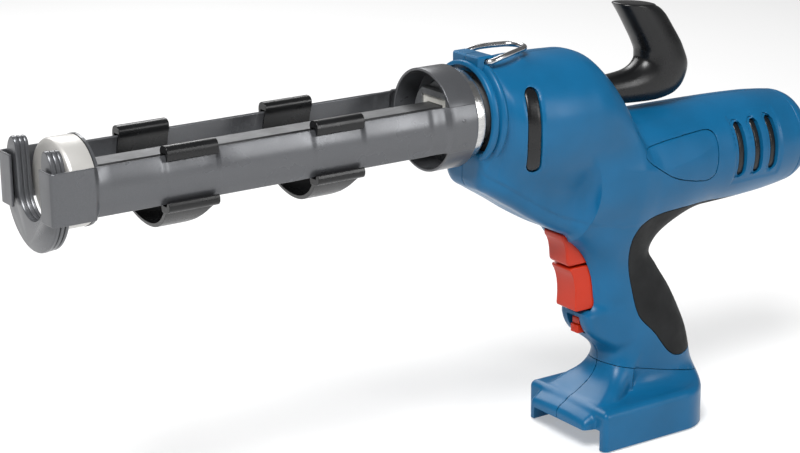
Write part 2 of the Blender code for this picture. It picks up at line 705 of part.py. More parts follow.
def rear_cap():
    """Domed cap on the barrel's rear, with a spigot inside the barrel."""
    start = BARREL_END_X + GAP
    cap = lathe_x([(start - 7.0, 24.9), (start - 0.01, 24.9), (start, 29.2), (244.0, 29.0),
                   (248.6, 27.2), (252.4, 23.6), (254.6, 19.0), (255.4, 17.0), (259.4, 13.8),
                   (261.4, 9.0), (REAR_X, 3.0)], (0.0, MOTOR_Z), 28)
    hollow = lathe_x([(start - 9.0, 22.6), (246.0, 22.6), (250.0, 16.0), (254.6, 9.0)],
                     (0.0, MOTOR_Z), 24)
    piece("rear_cap", cut(cap, hollow), "blue_plastic")


def foot_ring(front, rear, half_width, z_front, z_rear, square, inset, count=24):
    """Plan section of the foot: squarer towards the front, round at the rear."""
    centre = 147.5 - 5.0 * square
    ring = []
    for i in range(count):
        a = 2 * math.pi * i / count
        c, s = math.cos(a), math.sin(a)
        power = square if c < 0 else 0.95
        reach = (centre - front if c < 0 else rear - centre) - inset
        x = centre + reach * math.copysign(abs(c) ** power, c)
        y = (half_width - inset) * math.copysign(abs(s) ** (square if c < 0 else 0.9), s)
        ring.append((x, y, z_front + (z_rear - z_front) * (x - front) / (rear - front)))
    return ring


def foot_blank(inset):
    """Battery shoe: from the grip's seam it widens into a broad block."""
    seam_front, seam_rear = SEAM_FRONT, SEAM_REAR
    lift = 3.0 if inset > 0 else -GAP
    stations = [(seam_front[0], seam_rear[0], 18.4, seam_front[1] + lift, seam_rear[1] + lift, 1.0),
                (102.4, 176.2, 23.5, -180.5, -187.8, 0.8),
                (89.4, 176.0, 33.5, -187.2, -189.8, 0.45),
                (83.9, 175.8, 36.3, -191.0, -193.0, 0.3),
                (82.6, 175.6, 36.8, -196.0, -197.0, 0.25),
                (82.6, 175.6, 36.8, -ROD_Z, -ROD_Z, 0.25)]
    if inset > 0:
        stations = [stations[0], (102.4, 173.4, 23.5, -184.0, -190.5, 0.8),
                    (97.4, 169.4, 31.0, -192.5, -193.5, 0.5),
                    (97.4, 169.4, 31.0, -196.0, -196.0, 0.5)]
    return loft([foot_ring(*station, inset) for station in stations])


def foot():
    blank = foot_blank(0.0)
    sections = [(75.0, 25.0, -193.8, 1.6), (76.8, 26.2, -191.8, 2.6), (81.6, 27.6, -189.0, 4.2),
                (89.6, 28.6, -184.8, 6.4), (97.6, 28.0, -180.2, 9.0), (107.6, 22.0, -173.8, 12.0)]
    side = ((1.0, 1.0), (0.94, 0.5), (0.8, 0.2), (0.4, 0.0))
    nose = []
    for x, half, top, drop in sections:
        left = [(x, -half * k, top - drop * fall) for k, fall in side]
        right = [(x, half * k, top - drop * fall) for k, fall in side[::-1]]
        nose.append([(x, -half, -205.0), *left, *right, (x, half, -205.0)])
    nose = loft(nose)
    blank = add(blank, nose)
    bay = box((60, -31.6, -230), (152.0, 31.6, -198.6))
    hatch = box((106.0, -16.3, -202), (132.0, 16.3, -190))
    corner = prism([(71, -206.0), (82.3, -208.0), (86.3, -212.0), (71, -215.0)], "Y", -50, 50)
    blank = cut(blank, [foot_blank(WALL), bay, hatch, corner])
    for side in (-1, 1):
        near, far = sorted((side * 27.6, side * 33.0))
        blank = add(blank, box((90.0, near, -209.0), (150.0, far, -206.0)))
    for side, word in ((-1, "left"), (1, "right")):
        half = keep(twin(blank), half_box(side))
        half = cut(add(half, boss_posts(FOOT_BOSSES, side)), screw_cuts(FOOT_BOSSES, side))
        piece(f"{word}_foot_shell", half, "blue_plastic")
    bpy.data.objects.remove(blank)


def terminal_block():
    block = add(box((106.3, -16.0, -204.0), (131.7, 16.0, -194.6)),
                box((104.6, -17.0, -194.8), (133.4, 17.0, -192.6)))
    slots = [box((100.0, y - 1.6, -207.0), (124.0, y + 1.6, -198.0)) for y in (-10.0, 0.0, 10.0)]
    piece("terminal_block", cut(block, slots), "black_plastic")
    for i, y in enumerate((-10.0, 0.0, 10.0)):
        blade = box((107.0, y - 0.5, -203.4), (123.7, y + 0.5, -198.3))
        piece(f"contact_blade_{i + 1}", blade, "brass")


def screws():
    """Housing screws with hexagon sockets, all put in from the right side."""
    names = [f"housing_screw_{i + 1}" for i in range(len(BOSSES))]
    names += [f"foot_screw_{i + 1}" for i in range(len(FOOT_BOSSES))]
    for name, (x, z, half) in zip(names, BOSSES + FOOT_BOSSES):
        seat = half - 5.0 + GAP
        head = rod("Y", (x, z), 3.2, seat, seat + 2.6, 12)
        shank = rod("Y", (x, z), 1.5, -8.0, seat + 1.0, 8)
        socket = rod("Y", (x, z), 1.6, seat + 1.3, seat + 4.0, 6)
        piece(name, cut(add(head, shank), socket), "gear_steel")


# -------------------------------------------------------- gear case and fittings

CASE_PLATES_Y = ((-20.0, -15.0), (20.0, 24.6))
CASE_X = (34.6, 84.6)
NOSE_X = (-14.0, 20.2)


def gear_case():
    """Frame with a round nose for the holder, and side plates for the cross shaft."""
    case = lathe_x([(NOSE_X[0], 18.8), (NOSE_X[0] + 1.0, 20.0), (NOSE_X[1], 20.0),
                    (NOSE_X[1] + 0.01, 23.0), (NOSE_X[1] + 4.0, 23.0)], count=32)
    left, right = CASE_PLATES_Y[0][0], CASE_PLATES_Y[1][1]
    plates = [box((CASE_X[0], near, -28.0), (CASE_X[1], far, 4.0))
              for near, far in CASE_PLATES_Y]
    block = box((NOSE_X[1] + 2.0, -16.0, -20.0), (CASE_X[0] + 1.0, 16.0, 12.0))
    bridges = [box((x, left + 0.5, -24.0), (x + 3.6, right - 0.5, 3.4))
               for x in (CASE_X[0] + 0.2, CASE_X[1] - 4.0)]
    case = add(case, [block, *bridges, *plates])
    passage = box((NOSE_X[0] - 5, -7.6, -8.6), (CASE_X[1] + 5, 7.6, 8.6))
    bush_seat = box((NOSE_X[0] - 5, -11.3, -12.3), (NOSE_X[0] + 7.3, 11.3, 12.3))
    rear_seat = box((CASE_X[1] - 9, -11.3, -12.3), (CASE_X[1] + 2, 11.3, 12.3))
    bearings = rod("Y", (SHAFT_X, SHAFT_Z), 7.3, -25, 35, 20)
    facet = box((NOSE_X[0] - 2, -30, 15.6), (NOSE_X[0] + 6.0, 30, 30))
    piece("gear_case", cut(case, [passage, bush_seat, rear_seat, bearings, facet]),
          "cast_metal")


def rod_bushes():
    for name, low, high in (("front_rod_bush", NOSE_X[0] + 1.0, NOSE_X[0] + 7.0),
                            ("rear_rod_bush", CASE_X[1] - 3.9, CASE_X[1] + 0.6)):
        plate = box((low, -11.0, -12.0), (high, 11.0, 12.0))
        hole = box((low - 2, -7.3, -8.3), (high + 2, 7.3, 8.3))
        piece(name, cut(plate, hole), "white_nylon")


def bearing(name, axis, centre, bore, radius, low, high):
    """Plain ring, as a flanged bush or a ball bearing seen from outside."""
    ring = cut(rod(axis, centre, radius, low, high, 20),
               rod(axis, centre, bore, low - 2, high + 2, 16))
    piece(name, ring, "gear_steel")


def swivel_ring():
    ring = ring_x([(-3.4, 25.0), (-2.8, 25.9), (3.0, 25.9), (3.6, 25.2), (3.6, 20.6),
                   (-3.4, 20.6)], count=40)
    piece("swivel_ring", ring, "bright_zinc")


# -------------------------------------------------------------------- drive train

def pinion_shaft():
    """Cross shaft with the rack pinion; splines are left out."""
    centre = (SHAFT_X, SHAFT_Z)
    gear = prism(gear_outline(PINION_TEETH, MODULE, centre, math.pi / 2 + math.pi / PINION_TEETH),
                 "Y", -6.0, 6.0)
    shaft = add(rod("Y", centre, 4.0, -20.4, 24.2, 14), rod("Y", centre, 5.6, -14.4, 7.0, 14))
    key = box((SHAFT_X - 1.0, WORM_Y + 3.4, SHAFT_Z + 2.0), (SHAFT_X + 1.0, 19.4, SHAFT_Z + 5.0))
    piece("pinion_shaft", add(gear, [shaft, key]), "gear_steel", (SHAFT_X, 0, SHAFT_Z))


def worm_wheel():
    centre = (SHAFT_X, SHAFT_Z)
    phase = -math.pi / 2 + math.pi / WHEEL_TEETH
    wheel = prism(gear_outline(WHEEL_TEETH, MODULE, centre, phase), "Y",
                  WORM_Y - 2.0, WORM_Y + 2.0)
    wheel = cut(wheel, rod("Y", centre, 4.1, 5, 25, 14))
    piece("worm_wheel", wheel, "brass", (SHAFT_X, 0, SHAFT_Z))


def clutch_plate():
    centre = (SHAFT_X, SHAFT_Z)
    plate = add(rod("Y", centre, 12.0, WORM_Y + 3.8, WORM_Y + 6.0, 20),
                rod("Y", centre, 6.8, WORM_Y + 5.8, WORM_Y + 8.4, 16))
    keyway = box((SHAFT_X - 1.3, 8, SHAFT_Z), (SHAFT_X + 1.3, 35, SHAFT_Z + 5.3))
    piece("clutch_plate", cut(plate, [rod("Y", centre, 4.3, 8, 35, 14), keyway]),
          "gear_steel", (SHAFT_X, 0, SHAFT_Z))


def worm_shaft():
    """Worm with a real helical thread, its shaft and the transfer gear."""
    pitch = math.pi * MODULE
    around, per_turn, turns = 10, 6, 4
    start = SHAFT_X - turns * pitch / 2
    rings = []
    for k in range(turns * per_turn + 1):
        x = start + k * pitch / per_turn
        ring = []
        for i in range(around):
            a = 2 * math.pi * i / around
            phase = ((x - SHAFT_X) / pitch + a / (2 * math.pi) + 0.25) % 1.0
            away = abs(phase - 0.5)
            height = max(0.0, min(1.0, (0.24 - away) / 0.14))
            r = WORM_R - 1.2 * MODULE + 2.0 * MODULE * height
            ring.append((x, WORM_Y + r * math.cos(a), WORM_Z + r * math.sin(a)))
        rings.append(ring)
    worm = loft(rings)
    centre = (WORM_Y, WORM_Z)
    shaft = rod("X", centre, 4.0, 34.0, 82.6, 12)
    direction = math.atan2(MOTOR_Z - WORM_Z, -WORM_Y)
    gear = prism(gear_outline(TRANSFER_TEETH, MODULE, centre, direction), "X", 72.6, 79.6)
    piece("worm_shaft", add(worm, [shaft, gear]), "gear_steel", (0, WORM_Y, WORM_Z))


def planet_carrier():
    """Carrier plate with three planet pins, and the output gear in front of it."""
    centre = (0.0, MOTOR_Z)
    direction = math.atan2(WORM_Z - MOTOR_Z, WORM_Y) + math.pi / TRANSFER_TEETH
    gear = prism(gear_outline(TRANSFER_TEETH, MODULE, centre, direction), "X", 72.6, 79.6)
    carrier = add(gear, [rod("X", centre, 4.0, 68.0, 86.0, 12),
                         rod("X", centre, 14.2, 83.0, 86.6, 24)])
    for i in range(3):
        y, z = planet_centre(i)
        carrier = add(carrier, rod("X", (y, z), 1.6, 86.0, 97.0, 8))
    piece("planet_carrier", carrier, "gear_steel", (0, 0, MOTOR_Z))


def planet_centre(i):
    a = 2 * math.pi * i / 3
    return PLANET_ORBIT * math.cos(a), MOTOR_Z + PLANET_ORBIT * math.sin(a)


def planets():
    for i in range(3):
        centre = planet_centre(i)
        phase = math.pi / PLANET_TEETH
        gear = prism(gear_outline(PLANET_TEETH, SUN_MODULE, centre, phase), "X", 87.2, 96.4)
        gear = cut(gear, rod("X", centre, 1.9, 80, 100, 8))
        piece(f"planet_gear_{i + 1}", gear, "gear_steel", (0, *centre))


def ring_gear():
    centre = (0.0, MOTOR_Z)
    ring = rod("X", centre, 20.0, 86.8, 98.6, 30)
    teeth = prism(gear_outline(RING_TEETH, SUN_MODULE, centre, 0.0, internal=True), "X", 80, 100)
    piece("ring_gear", cut(ring, teeth), "cast_metal")


def motor():
    centre = (0.0, MOTOR_Z)
    can = ring_x([(102.0, 20.6), (103.0, 21.6), (172.0, 21.6), (172.0, 20.0), (104.0, 20.0),
                  (104.0, 8.0), (102.0, 8.0)], centre, 28)
    magnets = []
    for side in (-1, 1):
        near, far = sorted((side * 15.4, side * 20.4))
        magnets.append(keep(box((112.0, near, MOTOR_Z - 11), (160.0, far, MOTOR_Z + 11)),
                            rod("X", centre, 20.4, 105, 165, 28)))
    piece("motor_can", add(can, magnets), "gear_steel")
    shaft = rod("X", centre, 2.2, 98.0, 206.0, 12)
    sun = prism(gear_outline(SUN_TEETH, SUN_MODULE, centre, 0.0), "X", 88.0, 98.5)
    stack = rod("X", centre, 14.0, 116.0, 156.0, 24)
    windings = rod("X", centre, 11.0, 110.0, 162.0, 18)
    commutator = rod("X", centre, 7.0, 164.0, 176.0, 16)
    rotor = add(shaft, [sun, stack, windings, commutator, rod("X", centre, 3.2, 160, 168, 12)])
    piece("motor_rotor", rotor, "copper", (0, 0, MOTOR_Z))
    hub = rod("X", centre, 7.0, 182.0, 194.0, 16)
    blades = [turned(box((183.0, 5.0, MOTOR_Z - 0.8), (193.0, 23.0, MOTOR_Z + 0.8)), "X",
                     360 * i / 9, (0, 0, MOTOR_Z)) for i in range(9)]
    plate = rod("X", centre, 23.4, 193.0, 194.6, 28)
    fan = cut(add(hub, [plate, *blades]), rod("X", centre, 2.5, 180, 200, 12))
    piece("cooling_fan", fan, "black_plastic", (0, 0, MOTOR_Z))


# ----------------------------------------------------------- controls and others

def triggers():
    """Two-part trigger: the upper part swings on a pin while the lower part slides back."""
    half = TRIGGER_W / 2
    x, z = PIVOT
    upper = [(71.2, -83.6), (73.4, -88.0), (74.6, -93.0), (74.8, -99.6), (76.0, -101.2),
             (95.5, -101.2), (95.5, -82.0), (80.0, -81.0), (70.6, -80.3)]
    lug = box((x - 3.6, -6.0, -84.0), (x + 3.6, 6.0, z + 3.6))
    blade = add(prism(upper, "Y", -half, half), lug)
    piece("upper_trigger", cut(blade, rod("Y", PIVOT, 1.9, -30, 30, 12)), "red_plastic",
          (x, 0, z))
    lower = [(77.0, -104.0), (79.2, -108.4), (80.8, -114.0), (81.4, -121.0), (81.0, -128.6),
             (82.2, -130.2), (96.0, -130.2), (96.0, -102.6), (78.6, -102.6)]
    pocket = box((88.0, -5.0, -124.0), (99.0, 5.0, -108.0))
    piece("lower_trigger", cut(prism(lower, "Y", -half, half), pocket), "red_plastic",
          (90.0, 0, -116.0))
    piece("trigger_pivot_pin", rod("Y", PIVOT, 1.6, -16.2, 16.2, 12), "gear_steel")
    turns, per_turn = 5, 8
    coil = [(88.6 + 14.6 * k / (turns * per_turn), 3.4 * math.cos(2 * math.pi * k / per_turn),
             -116.0 + 3.4 * math.sin(2 * math.pi * k / per_turn))
            for k in range(turns * per_turn + 1)]
    piece("trigger_spring", tube(coil, 0.45, 4), "gear_steel")
    switch = add(box((104.5, -8.0, -128.0), (129.0, 8.0, -95.0)),
                 box((110.0, -6.0, -95.5), (126.0, 6.0, -92.0)))
    piece("switch_module", switch, "black_plastic")


def lock_slider():
    plate = add(box((90.6, -3.4, -146.6), (93.4, 3.4, -136.0)),
                box((87.8, -3.4, -146.4), (91.0, 3.4, -141.4)))
    piece("lock_slider", plate, "red_plastic", (91.0, 0, -141.0))


def hang_ring():
    """Wire loop hinged in the lug, lying back over the housing at rest."""
    tip_x, wide = HANG_X + 33.0, 13.6
    points = [(HANG_X, -11.0, HANG_Z), (HANG_X, -wide, HANG_Z)]
    points += [(HANG_X + 9.0, -14.6, HANG_Z + 2.2), (HANG_X + 18.0, -13.0, HANG_Z + 3.0)]
    for i in range(9):
        a = -math.pi / 2 + math.pi * i / 8
        points.append((tip_x - 9.0 + 9.0 * math.cos(a), 9.4 * math.sin(a), HANG_Z + 3.4))
    points += [(HANG_X + 18.0, 13.0, HANG_Z + 3.0), (HANG_X + 9.0, 14.6, HANG_Z + 2.2),
               (HANG_X, wide, HANG_Z), (HANG_X, 11.0, HANG_Z)]
    piece("hang_ring", tube(points, 1.6, 8), "chrome", (HANG_X, 0, HANG_Z))


# ------------------------------------------------------------------------ build

def build():
    for obj in list(bpy.data.objects):
        bpy.data.objects.remove(obj)
    front_plate()
    left = rail()
    piece("right_rail", mirrored(left), "coated_steel")
    piece("left_rail", left, "coated_steel")
    collar()
    cradles()
    feed_rod()
    pusher()
    pull_handle()
    shells()
    side_inserts()
    vent_liners()
    rear_cap()
    foot()
    terminal_block()
    screws()
    gear_case()
    rod_bushes()
    bearing("left_shaft_bearing", "Y", (SHAFT_X, SHAFT_Z), 4.1, 7.0, -19.6, -15.2)
    bearing("right_shaft_bearing", "Y", (SHAFT_X, SHAFT_Z), 4.1, 7.0, 20.2, 24.4)
    swivel_ring()
    pinion_shaft()
    worm_wheel()
    clutch_plate()
    worm_shaft()
    planet_carrier()
    planets()
    ring_gear()
    motor()
    triggers()
    lock_slider()
    hang_ring()


build()
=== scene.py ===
"""Looks of the cordless caulking gun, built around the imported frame.

Shapes are drawn in millimetres in part.py's drawing coordinates: x along the feed rod, y to the
right, z measured from the rod's axis. placed() turns them into the frame's metres. The moulded
housing is one smooth distance field, cut into its pieces and meshed by dual contouring; turned,
bent and pressed parts are lofts and lathes; small drive parts keep their CAD mesh.
"""
import json
from math import copysign, cos, pi, radians, sin, sqrt

import bmesh
import bpy
import numpy as np
from mathutils import Matrix, Vector
from numpy import hypot, maximum, minimum


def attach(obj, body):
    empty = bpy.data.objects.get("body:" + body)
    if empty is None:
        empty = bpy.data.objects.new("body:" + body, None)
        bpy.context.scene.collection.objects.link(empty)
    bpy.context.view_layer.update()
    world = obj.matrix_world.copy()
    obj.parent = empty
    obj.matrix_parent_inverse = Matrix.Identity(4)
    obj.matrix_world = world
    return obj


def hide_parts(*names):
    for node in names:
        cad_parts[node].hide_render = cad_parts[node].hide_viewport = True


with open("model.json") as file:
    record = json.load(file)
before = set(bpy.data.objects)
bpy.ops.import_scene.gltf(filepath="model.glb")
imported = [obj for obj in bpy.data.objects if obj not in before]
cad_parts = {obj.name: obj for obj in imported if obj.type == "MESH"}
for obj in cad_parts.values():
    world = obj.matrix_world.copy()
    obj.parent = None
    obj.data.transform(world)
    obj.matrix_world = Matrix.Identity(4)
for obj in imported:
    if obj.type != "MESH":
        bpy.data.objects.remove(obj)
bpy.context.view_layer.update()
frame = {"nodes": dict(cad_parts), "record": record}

ROD_Z = 211.0                         # height of the rod's axis over the lowest point
MIDDLE_X = 1.5                        # drawing x of the frame's origin
METRES = 0.001                        # metres in a millimetre
MERGE = 2e-6                          # points closer than this many metres become one
GRID = 1.2          # cell size of the housing's field
FOOT_GRID = 1.0     # cell size of the foot's field
FINE = 0.8          # cell size of thin overlays
SIDES = ((-1, "left"), (1, "right"))  # sign of y and the word used in names

# ---- mesh tools


def placed(points):
    """Drawing millimetres as the frame's metres."""
    return (np.asarray(points, float) + (-MIDDLE_X, 0, ROD_Z)) * METRES


def linked(name, data):
    """A new object for the data, linked to the scene."""
    obj = bpy.data.objects.new(name, data)
    bpy.context.scene.collection.objects.link(obj)
    return obj


def evaluated(obj):
    """A mesh of the object as its modifiers or its curve's bevel leave it."""
    graph = bpy.context.evaluated_depsgraph_get()
    return bpy.data.meshes.new_from_object(obj.evaluated_get(graph))


def solid_mesh(name, points, faces):
    """A mesh from drawing points, merged and with its faces turned outwards."""
    mesh = bpy.data.meshes.new(name)
    mesh.from_pydata([tuple(p) for p in placed(points)], [], [tuple(f) for f in faces])
    mesh.validate()
    bm = bmesh.new()
    bm.from_mesh(mesh)
    bmesh.ops.remove_doubles(bm, verts=bm.verts, dist=MERGE)
    bmesh.ops.recalc_face_normals(bm, faces=bm.faces)
    bm.to_mesh(mesh)
    bm.free()
    return mesh


def shaded(mesh, sharp):
    """Smooth shading, broken at edges sharper than an angle in degrees."""
    mesh.shade_smooth()
    mesh.set_sharp_from_angle(angle=radians(sharp))


def mesh_piece(name, points, faces, body, slot, sharp=35, nodes=()):
    """Make a piece from drawing points, attach it to its body, give it its slot's material and hide
    the CAD nodes it stands for.
    """
    mesh = solid_mesh(name, points, faces)
    shaded(mesh, sharp)
    obj = linked(name, mesh)
    obj.data.materials.append(MATERIALS[slot])
    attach(obj, body)
    if nodes:
        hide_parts(*nodes)
    return obj


def bevelled(obj, width, angle=30, segments=2):
    """Round the object's edges that are sharper than an angle in degrees."""
    mod = obj.modifiers.new("edges", "BEVEL")
    mod.width = width * METRES
    mod.segments = segments
    mod.limit_method = "ANGLE"
    mod.angle_limit = radians(angle)


def grid_faces(rows, columns, closed_rows=False, closed_columns=True):
    """Quads between neighbouring points of a grid that may close on itself."""
    faces = []
    for r in range(rows if closed_rows else rows - 1):
        for c in range(columns if closed_columns else columns - 1):
            a, b = r * columns + c, r * columns + (c + 1) % columns
            d, e = ((r + 1) % rows) * columns + c, ((r + 1) % rows) * columns + (c + 1) % columns
            faces.append((a, b, e, d))
    return faces


def loft(rings):
    """Points and faces of a closed loft through rings of equal length, with flat ends."""
    rings = np.asarray(rings, float)
    rows, columns = rings.shape[:2]
    faces = grid_faces(rows, columns)
    faces += [tuple(range(columns))[::-1], tuple(range((rows - 1) * columns, rows * columns))]
    return rings.reshape(-1, 3), faces


def lathe_x(profile, centre=(0, 0), count=96, start=0, turn=360):
    """Revolve a closed profile of (x, radius) points about an X axis, all round or part of it."""
    whole = turn > 359.9
    steps = count if whole else count + 1
    angles = np.radians(start + turn * np.arange(steps) / count)
    rings = [[(x, centre[0] + r * cos(a), centre[1] + r * sin(a)) for x, r in profile]
             for a in angles]
    points = np.asarray(rings).reshape(-1, 3)
    faces = grid_faces(steps, len(profile), closed_rows=whole)
    if not whole:
        last = (steps - 1) * len(profile)
        faces += [tuple(range(len(profile)))[::-1], tuple(range(last, last + len(profile)))]
    return points, faces


def turned(name, profile, body, slot, sharp, nodes=(), **shape):
    """A piece revolved about an X axis."""
    points, faces = lathe_x(profile, **shape)
    return mesh_piece(name, points, faces, body, slot, sharp, nodes)


def rounded_profile(points, radius, segments):
    """Closed outline with each corner replaced by a small arc-like curve."""
    out = []
    count = len(points)
    for i in range(count):
        before, here, after = (np.array(points[(i + k) % count], float) for k in (-1, 0, 1))
        reach = min(radius, 0.45 * np.linalg.norm(before - here),
                    0.45 * np.linalg.norm(after - here))
        start = here + (before - here) / np.linalg.norm(before - here) * reach
        end = here + (after - here) / np.linalg.norm(after - here) * reach
        for k in range(segments + 1):
            t = k / segments
            out.append(tuple((1 - t) ** 2 * start + 2 * t * (1 - t) * here + t * t * end))
    return out


def prism(outline, axis, low, high):
    """Points and faces of an outline drawn out along an axis."""
    def place(p, t):
        values = list(p)
        values.insert("XYZ".index(axis), t)
        return values
    return loft([[place(p, t) for p in outline] for t in (low, high)])


# ---- field functions

def spline(stations, column):
    """Smooth curve through one column of a station table, keyed by its first column."""
    keys = np.array([s[0] for s in stations], float)
    values = np.array([s[column] for s in stations], float)
    slope = np.diff(values) / np.diff(keys)
    inner = np.where(slope[:-1] * slope[1:] > 0,
                     2 * slope[:-1] * slope[1:] / (slope[:-1] + slope[1:] + 1e-12), 0)
    tangent = np.concatenate(([slope[0]], inner, [slope[-1]]))
    dense_x, dense_y = [], []
    t = np.linspace(0, 1, 24, endpoint=False)
    for i in range(len(slope)):
        step = keys[i + 1] - keys[i]
        dense_x.append(keys[i] + t * step)
        dense_y.append((2 * t**3 - 3 * t**2 + 1) * values[i]
                       + (t**3 - 2 * t**2 + t) * step * tangent[i]
                       + (3 * t**2 - 2 * t**3) * values[i + 1]
                       + (t**3 - t**2) * step * tangent[i + 1])
    dense_x = np.concatenate([*dense_x, [keys[-1]]])
    dense_y = np.concatenate([*dense_y, [values[-1]]])
    return lambda x: np.interp(x, dense_x, dense_y)


def blend_min(a, b, k):
    """Union of two fields with a fillet about k wide."""
    h = np.clip(0.5 + 0.5 * (b - a) / k, 0, 1)
    return b + (a - b) * h - k * h * (1 - h)


def round_max(a, b, r):
    """Intersection of two fields with a rounded edge of radius r."""
    u, v = a + r, b + r
    return minimum(maximum(u, v), 0) + hypot(maximum(u, 0), maximum(v, 0)) - r


def smooth_step(t):
    """Rise from 0 to 1 with a level start and end."""
    t = np.clip(t, 0, 1)
    return t * t * (3 - 2 * t)


def oval(u, v, a, b, p=2, q=2):
    """Near-distance to a superellipse with half axes a and b; u and v are scaled by them."""
    u, v = np.abs(u) + 1e-6, np.abs(v) + 1e-6
    s = u**p + v**q
    m = (p + q) / 2
    r = s ** (1 / m)
    slope = hypot(p * u ** (p - 1) / a, q * v ** (q - 1) / b) * r / s / m
    return (r - 1) / maximum(slope, 0.5 / maximum(a, b))


def outline_field(outline, step=0.5, margin=14):
    """Signed distance to a closed outline in the x-z plane, kept as a table and interpolated."""
    pts = np.array(outline, float)
    low = pts.min(0) - margin
    high = pts.max(0) + margin
    nx, nz = (np.ceil((high - low) / step).astype(int) + 1)
    gx, gz = np.meshgrid(low[0] + step * np.arange(nx), low[1] + step * np.arange(nz), indexing="ij")
    best = np.full(gx.shape, 1e9)
    inside = np.zeros(gx.shape, bool)
    for a, b in zip(pts, np.roll(pts, -1, axis=0)):
        e = b - a
        wx, wz = gx - a[0], gz - a[1]
        t = np.clip((wx * e[0] + wz * e[1]) / (e @ e), 0, 1)
        best = minimum(best, hypot(wx - t * e[0], wz - t * e[1]))
        if abs(e[1]) > 1e-9:
            crosses = ((a[1] > gz) != (b[1] > gz)) & (wx < wz / e[1] * e[0])
            inside ^= crosses
    table = np.where(inside, -best, best)

    def field(x, z):
        fx = np.clip((x - low[0]) / step, 0, nx - 1.001)
        fz = np.clip((z - low[1]) / step, 0, nz - 1.001)
        ix, iz = fx.astype(int), fz.astype(int)
        tx, tz = fx - ix, fz - iz
        return ((table[ix, iz] * (1 - tx) + table[ix + 1, iz] * tx) * (1 - tz)
                + (table[ix, iz + 1] * (1 - tx) + table[ix + 1, iz + 1] * tx) * tz)
    return field


def softened(outline, times=2):
    """Cut an outline's corners repeatedly, which turns it into a smooth curve."""
    pts = np.array(outline, float)
    for _ in range(times):
        after = np.roll(pts, -1, axis=0)
        pts = np.stack([0.75 * pts + 0.25 * after, 0.25 * pts + 0.75 * after], 1).reshape(-1, 2)
    return pts


def stadium(x, z, centre, half_width, half_length):
    """Distance to an upright slot with round ends."""
    dz = maximum(np.abs(z - centre[1]) - (half_length - half_width), 0)
    return hypot(x - centre[0], dz) - half_width


def between(t, low, high):
    """Field of a slab, negative between two values."""
    return maximum(low - t, t - high)


def block_field(x, y, z, x_ends, half_y, z_ends):
    """A block that lies evenly across the middle plane."""
    return maximum(maximum(between(x, *x_ends), np.abs(y) - half_y), between(z, *z_ends))


SLAB = 24            # layers of the grid evaluated at once
MIDDLE_PULL = 0.04   # weight that keeps a point near the middle of its cell's crossings
SMOOTH_AGREE = 0.985  # normals that agree this well belong to a smooth stretch
PROBE = 0.04         # reach of the differences that give a field's gradient


